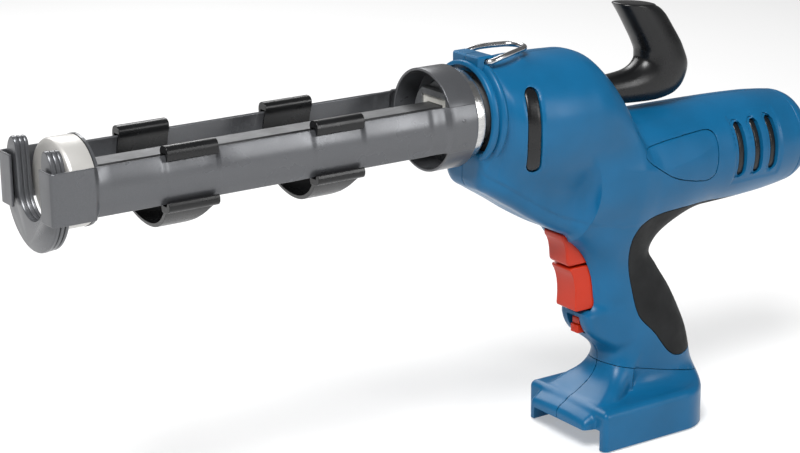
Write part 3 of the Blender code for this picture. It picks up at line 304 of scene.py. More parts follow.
def contour(field, low, high, step):
    """Dual contouring: points and quads of the field's zero surface, with its sharp edges kept."""
    low, high = np.array(low, float), np.array(high, float)
    count = np.ceil((high - low) / step).astype(int) + 1
    axes = [low[k] + step * np.arange(count[k]) for k in range(3)]
    values = np.empty(count)
    for start in range(0, count[0], SLAB):
        gx, gy, gz = np.meshgrid(axes[0][start:start + SLAB], axes[1], axes[2], indexing="ij")
        values[start:start + SLAB] = field(gx, gy, gz)
    cells = count - 1
    stride = np.array([cells[1] * cells[2], cells[2], 1])
    normals, crossings, owners, quads = [], [], [], []
    for k in range(3):
        along = np.moveaxis(values, k, 0)
        v0, v1 = np.moveaxis(along[:-1], 0, k), np.moveaxis(along[1:], 0, k)
        index = np.argwhere((v0 < 0) != (v1 < 0))
        if not len(index):
            continue
        a, b = v0[tuple(index.T)], v1[tuple(index.T)]
        t = a / (a - b)
        p = low + index * step
        p0 = p[:, k].copy()
        t0, t1 = np.zeros_like(t), np.ones_like(t)
        for _ in range(3):
            p[:, k] = p0 + t * step
            v = field(p[:, 0], p[:, 1], p[:, 2])
            same = (v < 0) == (a < 0)
            t0, t1 = np.where(same, t, t0), np.where(same, t1, t)
            a, b = np.where(same, v, a), np.where(same, b, v)
            t = t0 + (t1 - t0) * np.clip(a / (a - b + 1e-12), 0.05, 0.95)
        p[:, k] = p0 + t * step
        normal = gradient(field, p)
        normal = normal / maximum(np.linalg.norm(normal, axis=1), 1e-9)[:, None]
        others = [m for m in range(3) if m != k]
        ring = []
        for da, db in ((0, 0), (1, 0), (1, 1), (0, 1)):
            cell = index.copy()
            cell[:, others[0]] -= da
            cell[:, others[1]] -= db
            good = ((cell >= 0) & (cell < cells)).all(1)
            ring.append(np.where(good, cell @ stride, -1))
        ring = np.stack(ring, 1)
        for c in range(4):
            good = ring[:, c] >= 0
            owners.append(ring[good, c])
            crossings.append(p[good])
            normals.append(normal[good])
        whole = (ring >= 0).all(1)
        flip = (v0[tuple(index.T)] < 0)[whole] ^ (k == 1)
        quad = ring[whole]
        quad[~flip] = quad[~flip][:, ::-1]
        quads.append(quad)
    owner, p, n = np.concatenate(owners), np.concatenate(crossings), np.concatenate(normals)
    quads = np.concatenate(quads)
    ids, slot = np.unique(owner, return_inverse=True)
    total = len(ids)
    amount = np.bincount(slot, minlength=total).astype(float)

    def gathered(w):
        return np.bincount(slot, weights=w, minlength=total)

    middle = np.stack([gathered(p[:, k]) for k in range(3)], 1) / amount[:, None]
    offset = np.einsum("ij,ij->i", n, p - middle[slot])
    ata = np.empty((total, 3, 3))
    for i in range(3):
        for j in range(3):
            ata[:, i, j] = gathered(n[:, i] * n[:, j])
    ata += np.eye(3) * (MIDDLE_PULL * amount)[:, None, None]
    atb = np.stack([gathered(n[:, k] * offset) for k in range(3)], 1)
    shift = np.linalg.solve(ata, atb[..., None])[..., 0]
    corner = low + np.stack(np.unravel_index(ids, cells), 1) * step
    points = np.clip(middle + shift, corner + 0.02 * step, corner + 0.98 * step)
    agree = np.linalg.norm(np.stack([gathered(n[:, k]) for k in range(3)], 1), axis=1) / amount
    smooth = agree > SMOOTH_AGREE
    q = points[smooth]
    for _ in range(2):
        g = gradient(field, q)
        v = field(q[:, 0], q[:, 1], q[:, 2])
        q = q - np.clip(v / maximum((g * g).sum(1), 0.05), -0.4, 0.4)[:, None] * g
    points[smooth] = q
    return points, np.searchsorted(ids, quads)


def gradient(field, p):
    g = np.empty_like(p)
    for k in range(3):
        ahead, behind = p.copy(), p.copy()
        ahead[:, k] += PROBE
        behind[:, k] -= PROBE
        g[:, k] = (field(*ahead.T) - field(*behind.T)) / (2 * PROBE)
    return g


def mirrored(points, faces):
    """The same shape on the other side of the middle plane."""
    return np.asarray(points) * (1, -1, 1), [tuple(f)[::-1] for f in faces]

# ---- materials

NOISE_LOW, NOISE_HIGH = 0.3, 0.7      # range of a noise that becomes a whole range of tones


def put(node, **values):
    """Set a node's sockets by name, an underscore standing for a space."""
    for key, value in values.items():
        node.inputs[key.replace("_", " ")].default_value = value
    return node


def shader_tree(name, colour, roughness, metallic=0, **sockets):
    """A material with its numbers on the shader's own sockets."""
    mat = bpy.data.materials.new(name)
    mat.use_nodes = True
    tree = mat.node_tree
    shader = tree.nodes["Principled BSDF"]
    put(shader, Base_Color=(*colour, 1), Roughness=roughness, Metallic=metallic)
    put(shader, **sockets)
    return mat, tree, shader


def noise(tree, scale, detail=3, stretch=(1, 1, 1)):
    """Noise over object coordinates, which are the frame's metres."""
    coordinates = tree.nodes.new("ShaderNodeTexCoord")
    mapping = put(tree.nodes.new("ShaderNodeMapping"), Scale=stretch)
    texture = put(tree.nodes.new("ShaderNodeTexNoise"), Scale=scale, Detail=detail)
    tree.links.new(coordinates.outputs["Object"], mapping.inputs["Vector"])
    tree.links.new(mapping.outputs["Vector"], texture.inputs["Vector"])
    return texture.outputs["Fac"]


def vary_roughness(tree, shader, source, low, high):
    """Let a noise move the roughness between two values."""
    node = put(tree.nodes.new("ShaderNodeMapRange"), From_Min=NOISE_LOW, From_Max=NOISE_HIGH,
               To_Min=low, To_Max=high)
    tree.links.new(source, node.inputs["Value"])
    tree.links.new(node.outputs["Result"], shader.inputs["Roughness"])


def tint(tree, shader, source, dark, light):
    """Let a noise move the colour between two tones."""
    node = tree.nodes.new("ShaderNodeValToRGB")
    for element, place, colour in zip(node.color_ramp.elements, (NOISE_LOW, NOISE_HIGH),
                                      (dark, light)):
        element.position = place
        element.color = (*colour, 1)
    tree.links.new(source, node.inputs["Fac"])
    tree.links.new(node.outputs["Color"], shader.inputs["Base Color"])


def bumps(tree, shader, sources):
    """Chain of bump nodes from (height output, strength, distance in metres)."""
    normal = None
    for source, strength, distance in sources:
        node = put(tree.nodes.new("ShaderNodeBump"), Strength=strength, Distance=distance)
        tree.links.new(source, node.inputs["Height"])
        if normal is not None:
            tree.links.new(normal, node.inputs["Normal"])
        normal = node.outputs["Normal"]
    tree.links.new(normal, shader.inputs["Normal"])


def scaled(colour, factor):
    return tuple(min(1, c * factor) for c in colour)


def moulded_plastic(name, colour, roughness, grain=0.35, spread=0.1, **sockets):
    """Spark-eroded moulding: fine grain, slow changes of tone and of gloss."""
    mat, tree, shader = shader_tree(name, colour, roughness, **sockets)
    slow = noise(tree, 28, 3)
    tint(tree, shader, slow, scaled(colour, 1 - spread), scaled(colour, 1 + spread))
    vary_roughness(tree, shader, noise(tree, 60, 4), roughness - 0.05, roughness + 0.06)
    bumps(tree, shader, [(noise(tree, 1500, 2), grain, 0.00006),
                         (noise(tree, 45, 2), 0.25, 0.00008)])
    return mat


def rubber(name):
    """Soft, dull overlay with a fine grain."""
    colour = (0.009, 0.0095, 0.01)
    mat, tree, shader = shader_tree(name, colour, 0.62, Specular_IOR_Level=0.18)
    tint(tree, shader, noise(tree, 35, 4), scaled(colour, 0.8), scaled(colour, 1.3))
    vary_roughness(tree, shader, noise(tree, 90, 3), 0.54, 0.7)
    bumps(tree, shader, [(noise(tree, 2200, 2), 0.5, 0.00008),
                         (noise(tree, 60, 2), 0.2, 0.0001)])
    return mat


def brushed_metal(name, colour, roughness, stretch, strength=0.18, scale=700):
    """Metal with fine lines across the stretched axis and faint handling marks."""
    mat, tree, shader = shader_tree(name, colour, roughness, 1)
    lines = noise(tree, scale, 3, stretch)
    tint(tree, shader, lines, scaled(colour, 0.86), scaled(colour, 1.1))
    vary_roughness(tree, shader, noise(tree, 70, 4), roughness - 0.06, roughness + 0.1)
    bumps(tree, shader, [(lines, strength, 0.00003), (noise(tree, 38, 2), 0.03, 0.00006)])
    return mat


def coated_steel(name, colour, roughness, metallic):
    """Satin silver lacquer over pressed sheet: slight orange peel and fine flake."""
    mat, tree, shader = shader_tree(name, colour, roughness, metallic, Coat_Weight=0.25,
                                    Coat_Roughness=0.22)
    tint(tree, shader, noise(tree, 1800, 2), scaled(colour, 0.93), scaled(colour, 1.07))
    vary_roughness(tree, shader, noise(tree, 50, 4), roughness - 0.05, roughness + 0.07)
    bumps(tree, shader, [(noise(tree, 420, 3), 0.1, 0.00004),
                         (noise(tree, 30, 2), 0.05, 0.00008)])
    return mat


def make_materials():
    """The material of every slot."""
    made = {
        "blue_plastic": moulded_plastic("blue_moulding", (0.0035, 0.092, 0.21), 0.33,
                                        Specular_IOR_Level=0.26),
        "black_plastic": moulded_plastic("black_moulding", (0.0055, 0.0057, 0.0062), 0.28, 0.3,
                                         0.22, Specular_IOR_Level=0.36),
        "red_plastic": moulded_plastic("red_moulding", (0.43, 0.022, 0.004), 0.33, 0.25, 0.06,
                                       Specular_IOR_Level=0.28),
        "white_nylon": moulded_plastic("nylon", (0.7, 0.69, 0.64), 0.5, 0.3, 0.05),
        "soft_rubber": rubber("grip_rubber"),
        "coated_steel": coated_steel("lacquered_steel", (0.088, 0.091, 0.098), 0.3, 0.45),
        "bright_zinc": brushed_metal("zinc_plate", (0.56, 0.555, 0.545), 0.22, (0.25, 1, 1), 0.05),
        "satin_zinc": moulded_plastic("zinc_dish", (0.5, 0.49, 0.47), 0.4, 0.1, 0.04,
                                      Metallic=0.4),
        "rod_steel": brushed_metal("rod_steel", (0.15, 0.152, 0.156), 0.52, (0.3, 1, 1), 0.35),
        "chrome": brushed_metal("ring_steel", (0.56, 0.56, 0.57), 0.18, (1, 1, 1), 0.02),
        "gear_steel": brushed_metal("gear_steel", (0.33, 0.33, 0.34), 0.33, (1, 0.2, 1), 0.2),
        "brass": brushed_metal("brass", (0.6, 0.42, 0.15), 0.3, (1, 0.2, 1), 0.15),
        "copper": brushed_metal("copper_windings", (0.6, 0.26, 0.13), 0.34, (0.15, 1, 1), 0.3),
    }
    cast, tree, shader = shader_tree("cast_case", (0.4, 0.41, 0.42), 0.5, 0.9)
    tint(tree, shader, noise(tree, 300, 4), (0.33, 0.34, 0.35), (0.46, 0.47, 0.48))
    bumps(tree, shader, [(noise(tree, 700, 3), 0.5, 0.0001)])
    made["cast_metal"] = cast
    return made


MATERIALS = make_materials()

# ---- housing field

BULGE = [  # x, centre, height above it, height below it, half width
    (16.4, -0.6, 29.4, 30.6, 29.6), (19.4, -2, 29.8, 34.8, 32.8), (27, -4, 31.6, 40, 36.4),
    (40, -5, 33.8, 44, 38.4), (56, -6, 35, 48, 39), (74, -6, 34.4, 52, 38.4),
    (84, -8, 33.8, 56, 37.4), (92, -12, 31.2, 58, 36), (99, -18, 28.6, 56, 34.8),
    (105, -25, 25.6, 52, 33.8), (111, -34, 21, 46, 33),
    (118, -44, 12, 34, 30)]
BARREL = [
    (80, 33.2), (112, 33.6), (150, 33.4), (190, 32.8), (220, 31.6), (235, 30.2), (241, 29.4)]
CHIN = [
    (5.5, -39, 17), (8, -42.5, 18.6), (13.5, -46, 19.4), (27.5, -54.7, 20), (46.5, -67, 20),
    (65, -77, 19.4), (86, -84, 18.6), (104, -88, 17.6)]
GRIP = [  # z, front, rear, half width
    (-211, 113, 175.6, 18.4), (-190, 112, 176, 18.4), (-184.8, 111.4, 176.5, 18.4),
    (-168.5, 107.5, 174, 18.2), (-157, 104, 171.2, 17.8), (-144, 97, 165.6, 17.6),
    (-128, 91, 157, 17.2), (-112, 89, 146, 16.8), (-101, 88, 139.6, 16.6),
    (-92, 87.6, 142, 17), (-78, 90, 150, 18.4), (-62, 92, 156, 19)]
GUARD = [
    (86.6, -131), (86.9, -138), (90, -144.8), (95.6, -150.4), (103, -154.8), (112, -158.4),
    (124, -150), (124, -131)]
NOSE = [  # x, top, half width, corner radius
    (75, -194, 25.4, 2), (76.8, -191.8, 26.2, 3), (81.6, -189, 27.6, 4.5),
    (89.6, -184.8, 28.6, 6.5), (97.6, -180.2, 28, 9), (107.6, -173.8, 23, 11),
    (116, -169, 17, 9)]
SOFT = [
    (214, -79), (190, -76), (160, -73.6), (135.5, -72.6), (124.5, -74.2), (116.4, -78),
    (112.2, -84.4), (111.4, -91), (113, -99.8), (118.6, -124), (121.4, -134.2), (124.8, -141),
    (135.9, -151.2), (141.4, -158.8), (147.2, -166.2), (154.2, -170.4), (163, -170.8), (190, -166),
    (240, -120), (226, -84)]
LABEL = [
    (111.5, -34.8), (115, -31.6), (127.5, -29.9), (153.5, -28.2), (164.5, -27.6), (169, -29.4),
    (170.5, -34), (168.7, -52), (166.5, -55.6), (161.3, -57.4), (148.5, -55.4), (133.7, -51.2),
    (122.4, -44.2), (114.1, -38.2)]
SIDE_SLOT = (29.4, -8.2)
VENT_X, VENT_Z, VENT_HALF = (190.5, 204, 217), -43.5, 16
VENT_ENDS = (184, 223)
HANG_X, HANG_Z = 13.5, 30
PIVOT_X, PIVOT_Z = 84.5, -75
ROOMS = [  # x ends, half width, z ends of the trigger window, its travel, pivot and lock
    ((60, 98.1), 9.6, (-131.5, -80)), ((90, 102.6), 9.6, (-131.6, -101.6)),
    ((79.1, 89.9), 6.6, (-84, -69.6)), ((80, 97), 6, (-147, -135.4))]
BATTERY_ROOMS = [((60, 152), 31.6, (-230, -198.6)), ((106, 132), 16.3, (-202, -190))]
SEAM = ((107.5, -168.5), (176.5, -184.8))
BOSSES = [
    (41, 19.3, 26.8), (93, -20, 35), (225, -66, 24), (103.5, -85, 16.4), (112, -139, 16)]
FOOT_BOSSES = [(92, -192.4, 25), (150, -189.7, 24.2)]
MOTOR_Z = -48
SOFT_T = 1.8         # thickness of the soft overlay
WALL = 4.4

bulge_c, bulge_up, bulge_down, bulge_w = (spline(BULGE, k) for k in (1, 2, 3, 4))
barrel_r = spline(BARREL, 1)
chin_low, chin_w = spline(CHIN, 1), spline(CHIN, 2)
grip_front, grip_rear, grip_w = (spline(GRIP, k) for k in (1, 2, 3))
nose_top, nose_w, nose_r = (spline(NOSE, k) for k in (1, 2, 3))
soft_outline = outline_field(softened(SOFT))
label_outline = outline_field(softened(LABEL, 1))
guard_outline = outline_field(softened(GUARD, 1))


def bulge_field(x, y, z):
    c = bulge_c(x)
    height = np.where(z > c, bulge_up(x), bulge_down(x))
    half = bulge_w(x)
    d = oval(y / half, (z - c) / height, half, height)
    return round_max(round_max(d, 16.4 - x, 1.2), x - 118, 2)


def barrel_field(x, y, z):
    d = hypot(y, z - MOTOR_Z) - barrel_r(x)
    return maximum(d, between(x, 80, 241))


def chin_field(x, y, z):
    low = chin_low(x)
    band = smooth_step((low + 11 - z) / 1.6)
    half = chin_w(x) - 0.9 * band
    d = round_max(np.abs(y) - half, (low - z) * 0.87, 7)
    return round_max(round_max(maximum(d, z + 20), 5.5 - x, 1.6), x - 112, 1)


def grip_field(x, y, z):
    front, rear, half = grip_front(z), grip_rear(z), grip_w(z)
    middle, reach = (front + rear) / 2, (rear - front) / 2
    d = oval((x - middle) / reach, y / half, reach, half, 2.35, 2.35)
    return maximum(d, z + 60) * 0.93


def guard_field(x, y, z):
    return round_max(guard_outline(x, z), np.abs(y) - 13.2, 4)


def foot_block_field(x, y, z):
    side = np.abs(y) - 36.8
    front = round_max(side, 82.6 - x, 3)
    rear = oval((x - 147) / 28.6, y / 36.8, 28.6, 36.8)
    plan = np.where(x > 147, rear, front)
    return round_max(plan, z + 186.4, 4.5)


def nose_field(x, y, z):
    half = nose_w(x)
    top = nose_top(x) - 1.6 * (y / half) ** 2
    radius = nose_r(x)
    d = round_max(np.abs(y) - half, (z - top) * 0.86, radius)
    return round_max(maximum(d, x - 116), 75 - x, 1.2)


def outer_field(x, y, z):
    """The closed outside of housing and foot together."""
    body = blend_min(bulge_field(x, y, z), barrel_field(x, y, z), 9)
    neck = maximum(hypot(y, z) - 28.8, between(x, 14, 40))
    body = blend_min(body, neck, 2.5)
    body = blend_min(body, chin_field(x, y, z), 11)
    body = blend_min(body, grip_field(x, y, z), 26)
    body = blend_min(body, guard_field(x, y, z), 6)
    lug = round_max(np.abs(y) - 12.6, np.abs(x - HANG_X + 0.4) - 5.5, 1.6)
    lug = round_max(lug, z - HANG_Z - 3.4, 1.6)
    body = minimum(body, maximum(lug, 24 - z))
    foot = blend_min(foot_block_field(x, y, z), nose_field(x, y, z), 1.6)
    body = blend_min(body, foot, 13)
    return maximum(body, -ROD_Z - z)


def seam_field(x, z):
    """Height over the sloping joint between grip and foot."""
    (x0, z0), (x1, z1) = SEAM
    return (z - z0 - (z1 - z0) / (x1 - x0) * (x - x0)) * 0.973


def cut_by(body, tool):
    """The body without the tool."""
    return maximum(body, -tool)


def slot_distance(x, z, half_width, half_length):
    """Distance to the bulge's side slot, a stadium whose middle bows forwards."""
    t = (z - SIDE_SLOT[1]) / 24
    return stadium(x + 1.5 * t - 3.3 * t * t, z, SIDE_SLOT, half_width, half_length)


def vent_cut(x, y, z, centre, half_width, half_length):
    return maximum(stadium(x, z, centre, half_width, half_length), 18 - np.abs(y))


def bored(d, x, y, z, side, bosses):
    """Screw posts inside a half: pilot holes on the left, counterbores on the right."""
    outer = outer_field(x, y, z)
    reach = np.abs(y)
    for bx, bz, half in bosses:
        away = hypot(x - bx, z - bz)
        post = maximum(maximum(away - 5.2, reach - (half - 1.5)), outer + 1.5)
        d = minimum(d, post)
        d = cut_by(d, maximum(away - 1.9, reach - (9 if side < 0 else half)))
        if side > 0:
            d = cut_by(d, maximum(away - 3.7, half - 5 - reach))
    return d


def parting(d, y):
    """Keep clear of the middle plane, with a softened edge along the joint."""
    return round_max(d, 0.15 - np.abs(y), 0.5)


def shell_field(side):
    """Field of a housing half, drawn on the left and fitted with its own side's screw holes."""
    def field(x, y, z):
        outer = outer_field(x, y, z)
        relief = maximum(between(x, *VENT_ENDS), np.abs(z - VENT_Z) - 20)
        relief = 0.55 * smooth_step((1 - relief) / 2) * (np.abs(y) > 15)
        d = outer + relief
        for vx in VENT_X:
            step = vent_cut(x, y, z, (vx - 1.9, VENT_Z + 0.4), 4.3, VENT_HALF + 1.2)
            d = cut_by(d, maximum(step, -(outer + 1.7)))
        rim = slot_distance(x, z, 4.4, 24.6)
        d = d + 0.5 * smooth_step((1.8 - rim) / 1.8) * (np.abs(y) > 18)
        d = cut_by(d, maximum(soft_outline(x, z) - 0.3, -(outer + SOFT_T + 0.3)))
        d = cut_by(d, maximum(label_outline(x, z) - 0.3, -(outer + 2.2)))
        d = maximum(d, 0.3 - seam_field(x, z))
        d = cut_by(d, maximum(outer + WALL, 5 - seam_field(x, z)))
        d = bored(d, x, y, z, side, BOSSES)
        for vx in VENT_X:
            d = cut_by(d, vent_cut(x, y, z, (vx, VENT_Z), 2.9, VENT_HALF))
        d = cut_by(d, maximum(rim, 16 - np.abs(y)))
        d = cut_by(d, maximum(hypot(y, z) - 21.2, between(x, 2, 30)))
        passage = maximum(np.abs(y) - 7.6, between(z, -9, 8.7))
        passage = minimum(passage, hypot(y, z + 0.8) - 9.6)
        d = cut_by(d, maximum(passage, between(x, 90, 130)))
        for room in ROOMS:
            d = cut_by(d, block_field(x, y, z, *room))
        d = cut_by(d, maximum(hypot(x - PIVOT_X, z - PIVOT_Z) - 1.9, np.abs(y) - 16.6))
        d = cut_by(d, maximum(hypot(x - HANG_X, z - HANG_Z) - 2.1, 9.8 - np.abs(y)))
        return parting(d, y)
    return field


def soft_field(x, y, z):
    outer = outer_field(x, y, z)
    d = round_max(outer, soft_outline(x, z), 0.6)
    d = maximum(d, -(outer + SOFT_T))
    d = maximum(d, 0.4 - seam_field(x, z))
    return parting(d, y)


def label_field(x, y, z):
    outer = outer_field(x, y, z)
    d = round_max(outer + 0.05, label_outline(x, z) + 0.15, 0.5)
    return maximum(maximum(d, -(outer + 2)), 15 - np.abs(y))


def foot_field(side):
    """Field of a foot half with its battery bay, cut-back front corner and ledges."""
    def field(x, y, z):
        outer = outer_field(x, y, z)
        d = maximum(outer, seam_field(x, z) + 0.1)
        reach = np.abs(y)
        cavity = maximum(reach - 32, between(z, -196, -183.2))
        d = cut_by(d, maximum(outer + WALL, cavity))
        for room in BATTERY_ROOMS:
            d = cut_by(d, block_field(x, y, z, *room))
        corner = ((x - 82.3) + (z + 208) * 0.85) * 0.76
        d = maximum(d, -corner - 3.4)
        ledge = round_max(maximum(between(x, 90, 150), between(z, -209, -206)),
                          between(reach, 27.6, 33), 0.5)
        d = minimum(d, ledge)
        d = bored(d, x, y, z, side, FOOT_BOSSES)
        return parting(d, y)
    return field


def field_piece(side, name, field, low, high, step, slot, node):
    """Mesh a field on the left side, or its mirror image on the right, between two corners."""
    points, faces = contour(field, low, high, step)
    if side > 0:
        points, faces = mirrored(points, faces)
    mesh_piece(name, points, faces, "housing", slot, 32, [node])


def housing():
    for side, word in SIDES:
        field_piece(side, f"{word}_housing_half", shell_field(side), (2, -41, -188),
                    (243, 1, 35.5), GRID, "blue_plastic", f"{word}_shell")
        field_piece(side, f"{word}_grip_overlay", soft_field, (108, -36, -186),
                    (222, 1, -70), FINE, "soft_rubber", f"{word}_soft_grip")
        field_piece(side, f"{word}_side_panel", label_field, (108, -36, -60),
                    (174, -12, -24), FINE, "blue_plastic", f"{word}_label_plate")
        field_piece(side, f"{word}_foot_half", foot_field(side), (72, -39, -213),
                    (180, 1, -160), FOOT_GRID, "blue_plastic", f"{word}_foot_shell")


housing()

# ---- neck, cap and inserts

def neck():
    """Turned neck in two halves, hollow at its front, with a black ring in the hollow as painted
    shade.
    """
    lip = [
        (5.5, 28.5), (6, 29.5), (6.7, 29.9), (8.7, 29.9), (9.4, 29.3), (9.8, 28.5), (10.7, 28.4),
        (11.2, 29.6), (11.9, 30.9), (12.8, 31.3), (13.9, 31.2), (14.9, 30.4), (15.6, 29.3),
        (16.6, 28.9), (22, 28.6), (22, 21.3), (12, 21.3), (12, 27.4), (5.5, 27.4)]
    for name, start in (("right_neck_half", -89.75), ("left_neck_half", 90.25)):
        turned(name, lip, "housing", "blue_plastic", 40, count=120, start=start, turn=179.5)
    # painted shade: a black ring set in the front hollow to stand for the collar's shadow there; it
    # is not a real seal
    shade_ring_profile = [(8.4, 27.2), (11.8, 27.2), (11.8, 21.4), (9.4, 21.4), (8.4, 22.6)]
    turned("neck_painted_shade_ring", shade_ring_profile, "housing", "soft_rubber", 40)


def rear_cap():
    """Domed cap on the motor barrel with a small button in its middle."""
    rim = 241.3
    profile = [(234.6, 24.6), (rim, 24.6), (rim, 28.7), (rim + 0.4, 29.2), (rim + 1.6, 29.2),
               (245.5, 28.5), (249, 26.9), (251.8, 24.2), (253.8, 20.6), (254.7, 17.6),
               (255.4, 16.4), (257.4, 15.6), (259.4, 13.7), (261, 10.4), (261.9, 6),
               (262.2, 0.2), (259.8, 0.2), (258.4, 8), (254, 13), (250, 18),
               (246, 22.4), (234.6, 22.4)]
    turned("barrel_end_cap", rounded_profile(profile, 0.8, 2), "housing", "blue_plastic", 38,
           ["rear_cap"], centre=(0, MOTOR_Z), count=120)


def insert_field(x, y, z):
    """Bar that fills the side slot, held by a flange behind the wall."""
    outer = outer_field(x, y, z)
    bar = round_max(outer + 0.7, slot_distance(x, z, 4.1, 24.3), 1.5)
    bar = maximum(bar, -(outer + 5.8))
    flange = maximum(slot_distance(x, z, 5.4, 25.8), outer + WALL + 0.3)
    flange = maximum(flange, -(outer + 5.8))
    return maximum(minimum(bar, flange), 14 - np.abs(y))


def louvre_field(x, y, z):
    """Three bars set back in the vents, joined by a plate behind the wall."""
    outer = outer_field(x, y, z)
    d = np.full_like(outer, 1e3)
    for vx in VENT_X:
        d = minimum(d, stadium(x, z, (vx, VENT_Z), 2.4, VENT_HALF - 0.5))
    d = maximum(round_max(outer + 2.2, d, 1.2), -(outer + 6))
    plate = maximum(maximum(between(x, *VENT_ENDS), np.abs(z - VENT_Z) - 17.5),
                       maximum(outer + WALL + 0.3, -(outer + 6.4)))
    return maximum(minimum(d, plate), 12 - np.abs(y))


def inserts():
    for side, word in SIDES:
        field_piece(side, f"{word}_slot_insert", insert_field, (22, -41, -37),
                    (43, -12, 20), FINE, "black_plastic", f"{word}_side_insert")
        field_piece(side, f"{word}_louvre", louvre_field, (182, -36, -64),
                    (225, -10, -24), FINE, "black_plastic", f"{word}_vent_liner")


neck()
rear_cap()
inserts()

# ---- cartridge holder

FRONT_X = -256.5
DISC_R, DISC_Z = 30, -3
SLOT_R = 13.5
RAIL_R, RAIL_T = 29, 1.5
RAIL_TOP, RAIL_BOTTOM = 12.5, -13.3
FLAT_Y = 30.8
COLLAR_R = 29


def arc_points(radius, start, end, count):
    angles = np.radians(np.linspace(start, end, count))
    return [(radius * cos(a), radius * sin(a)) for a in angles]


def plate_outline(less):
    """Slotted disc outline in the y-z plane, its outer edge and slot both cut back by less."""
    outer = DISC_R - less
    slot = SLOT_R + 0.7 * less
    side = 28.4 - 0.6 * less
    right = [(min(y, side), DISC_Z + z) for y, z in arc_points(outer, -90, 24, 40)]
    ear = [
        (26.2, 13.4), (25.2, 16.6), (23.9, 19.2), (22.2, 21.2), (20.2, 22.3), (18.2, 22.4),
        (16.4, 21.6), (15.2, 20), (14.6, 17.8), (14.2, 14)]
    for y, z in ear:
        right.append((20 + (y - 20) * (1 - 0.1 * less), z - 0.7 * less))
    right += [(slot + 0.4, 10), (slot + 0.1, 6), (slot, 2)]
    right += [(y, DISC_Z + z) for y, z in arc_points(slot, 0, -90, 24)]
    return right + [(-y, z) for y, z in right[::-1]]


def front_plate():
    """Three pressed layers with fine grooves between them, along the rim and in the slot."""
    layers = [
        (0, 0.9), (0.25, 0.35), (0.8, 0), (2.1, 0), (2.5, 0.5), (2.6, 1.2), (3, 1.2), (3.1, 0.6),
        (3.5, 0.3), (4.7, 0.3), (5.1, 0.7), (5.2, 1.4), (5.6, 1.4), (5.7, 0.8), (6.1, 0.5),
        (7, 0.5), (7.5, 1)]
    rings = [[(FRONT_X + x, y, z) for y, z in plate_outline(less)] for x, less in layers]
    mesh_piece("slotted_end_plate", *loft(rings), "cartridge_holder", "coated_steel", 30,
               ["front_plate"])


RAIL_STEPS = [
    (-234, 0), (-198.8, 0), (-193.6, 0.55), (-167.3, 0.55), (-164.3, 0), (-111.8, 0),
    (-106.6, 0.55), (-80.4, 0.55), (-76.6, 0), (-37.4, 0), (-33, 0.35), (-25.5, 0), (-22.8, -1.8),
    (-6, -1.8)]


def rail_rows():
    """Stations along a side rail: each has a path point, its outward normal and curvature."""
    rows = []
    tab = FRONT_X - 2.7
    for y in (-17, -20, -24):
        rows.append(((tab, y), (-1, 0), 1))
    for a in np.linspace(0, 90, 9):
        c, s = cos(radians(a)), sin(radians(a))
        rows.append(((tab + 2.5 - 2.5 * c, -FLAT_Y + 2.5 - 2.5 * s), (-c, -s), 1))
    for x in (-253, -250, -247, -243, -239):
        rows.append(((x, -FLAT_Y), (0, -1), 1))
    for t in np.linspace(0, 1, 9):
        rows.append(((-236.6 + 4.2 * t, -FLAT_Y), (0, -1), 1 - float(smooth_step(t))))
    xs = []
    for (x0, _), (x1, _) in zip(RAIL_STEPS, RAIL_STEPS[1:]):
        count = 6 if x1 - x0 < 8 else 4
        xs += list(np.linspace(x0, x1, count, endpoint=False))
    for x in [v for v in xs if v > -232] + [-6]:
        rows.append(((x, -FLAT_Y), (0, -1), 0))
    return rows


def rail(side, word):
    """Side rail: flat at its front tab and flats, curved with the holder elsewhere."""
    count = 25
    rings = []
    for (x, y), (nx, ny), flat in rail_rows():
        top = RAIL_TOP + 1 * flat
        drop = 0
        for (x0, d0), (x1, d1) in zip(RAIL_STEPS, RAIL_STEPS[1:]):
            if x0 <= x <= x1:
                drop = d0 + (d1 - d0) * float(smooth_step((x - x0) / (x1 - x0)))
        radius = RAIL_R - drop
        outer, inner = [], []
        for i in range(count):
            z = RAIL_BOTTOM + (top - RAIL_BOTTOM) * i / (count - 1)
            if flat >= 1:
                outer.append((x, y, z))
                inner.append((x - nx * RAIL_T, y - ny * RAIL_T, z))
            else:
                curved = -sqrt(radius**2 - z * z)
                bent = hypot(curved, z)
                out_y = (1 - flat) * curved - flat * FLAT_Y
                lean = (1 - flat) * z / bent
                outer.append((x, out_y, z))
                inner.append((x, out_y + RAIL_T * sqrt(1 - lean * lean), z - RAIL_T * lean))
        rings.append(outer + inner[::-1])
    points, faces = loft(rings)
    if side > 0:
        points, faces = mirrored(points, faces)
    obj = mesh_piece(f"{word}_side_rail", points, faces, "cartridge_holder", "coated_steel", 40,
                     [f"{word}_rail"])
    bevelled(obj, 0.35, 50)


def weld_dimples():
    """Two small pressed dimples where each rail is welded to the collar."""
    radius = COLLAR_R + 1.8
    for side, word in SIDES:
        for number, x, degrees in ((1, -15, 8), (2, -14, -17)):
            a = radians(degrees)
            rings = []
            for height, spread in ((0.28, 0.35), (0.3, 0.75), (0.12, 1.15), (-0.35, 1.3)):
                ring = []
                for k in range(20):
                    t = 2 * pi * k / 20
                    r = radius + height
                    turn = a + spread * sin(t) / radius
                    ring.append((x + spread * cos(t), side * r * cos(turn),
                                 r * sin(turn)))
                rings.append(ring)
            mesh_piece(f"weld_mark_{word[0]}{number}", *loft(rings), "cartridge_holder",
                       "coated_steel", 60)


def collar():
    front, rear = -21.8, -4.2
    profile = [(front, COLLAR_R), (rear, COLLAR_R), (rear, 21.2), (rear - 1.8, 21.2),
               (rear - 1.8, COLLAR_R - 1.6), (front, COLLAR_R - 1.6)]
    turned("collar_ring", rounded_profile(profile, 0.5, 3), "cartridge_holder", "coated_steel",
           50, ["collar"], count=144)


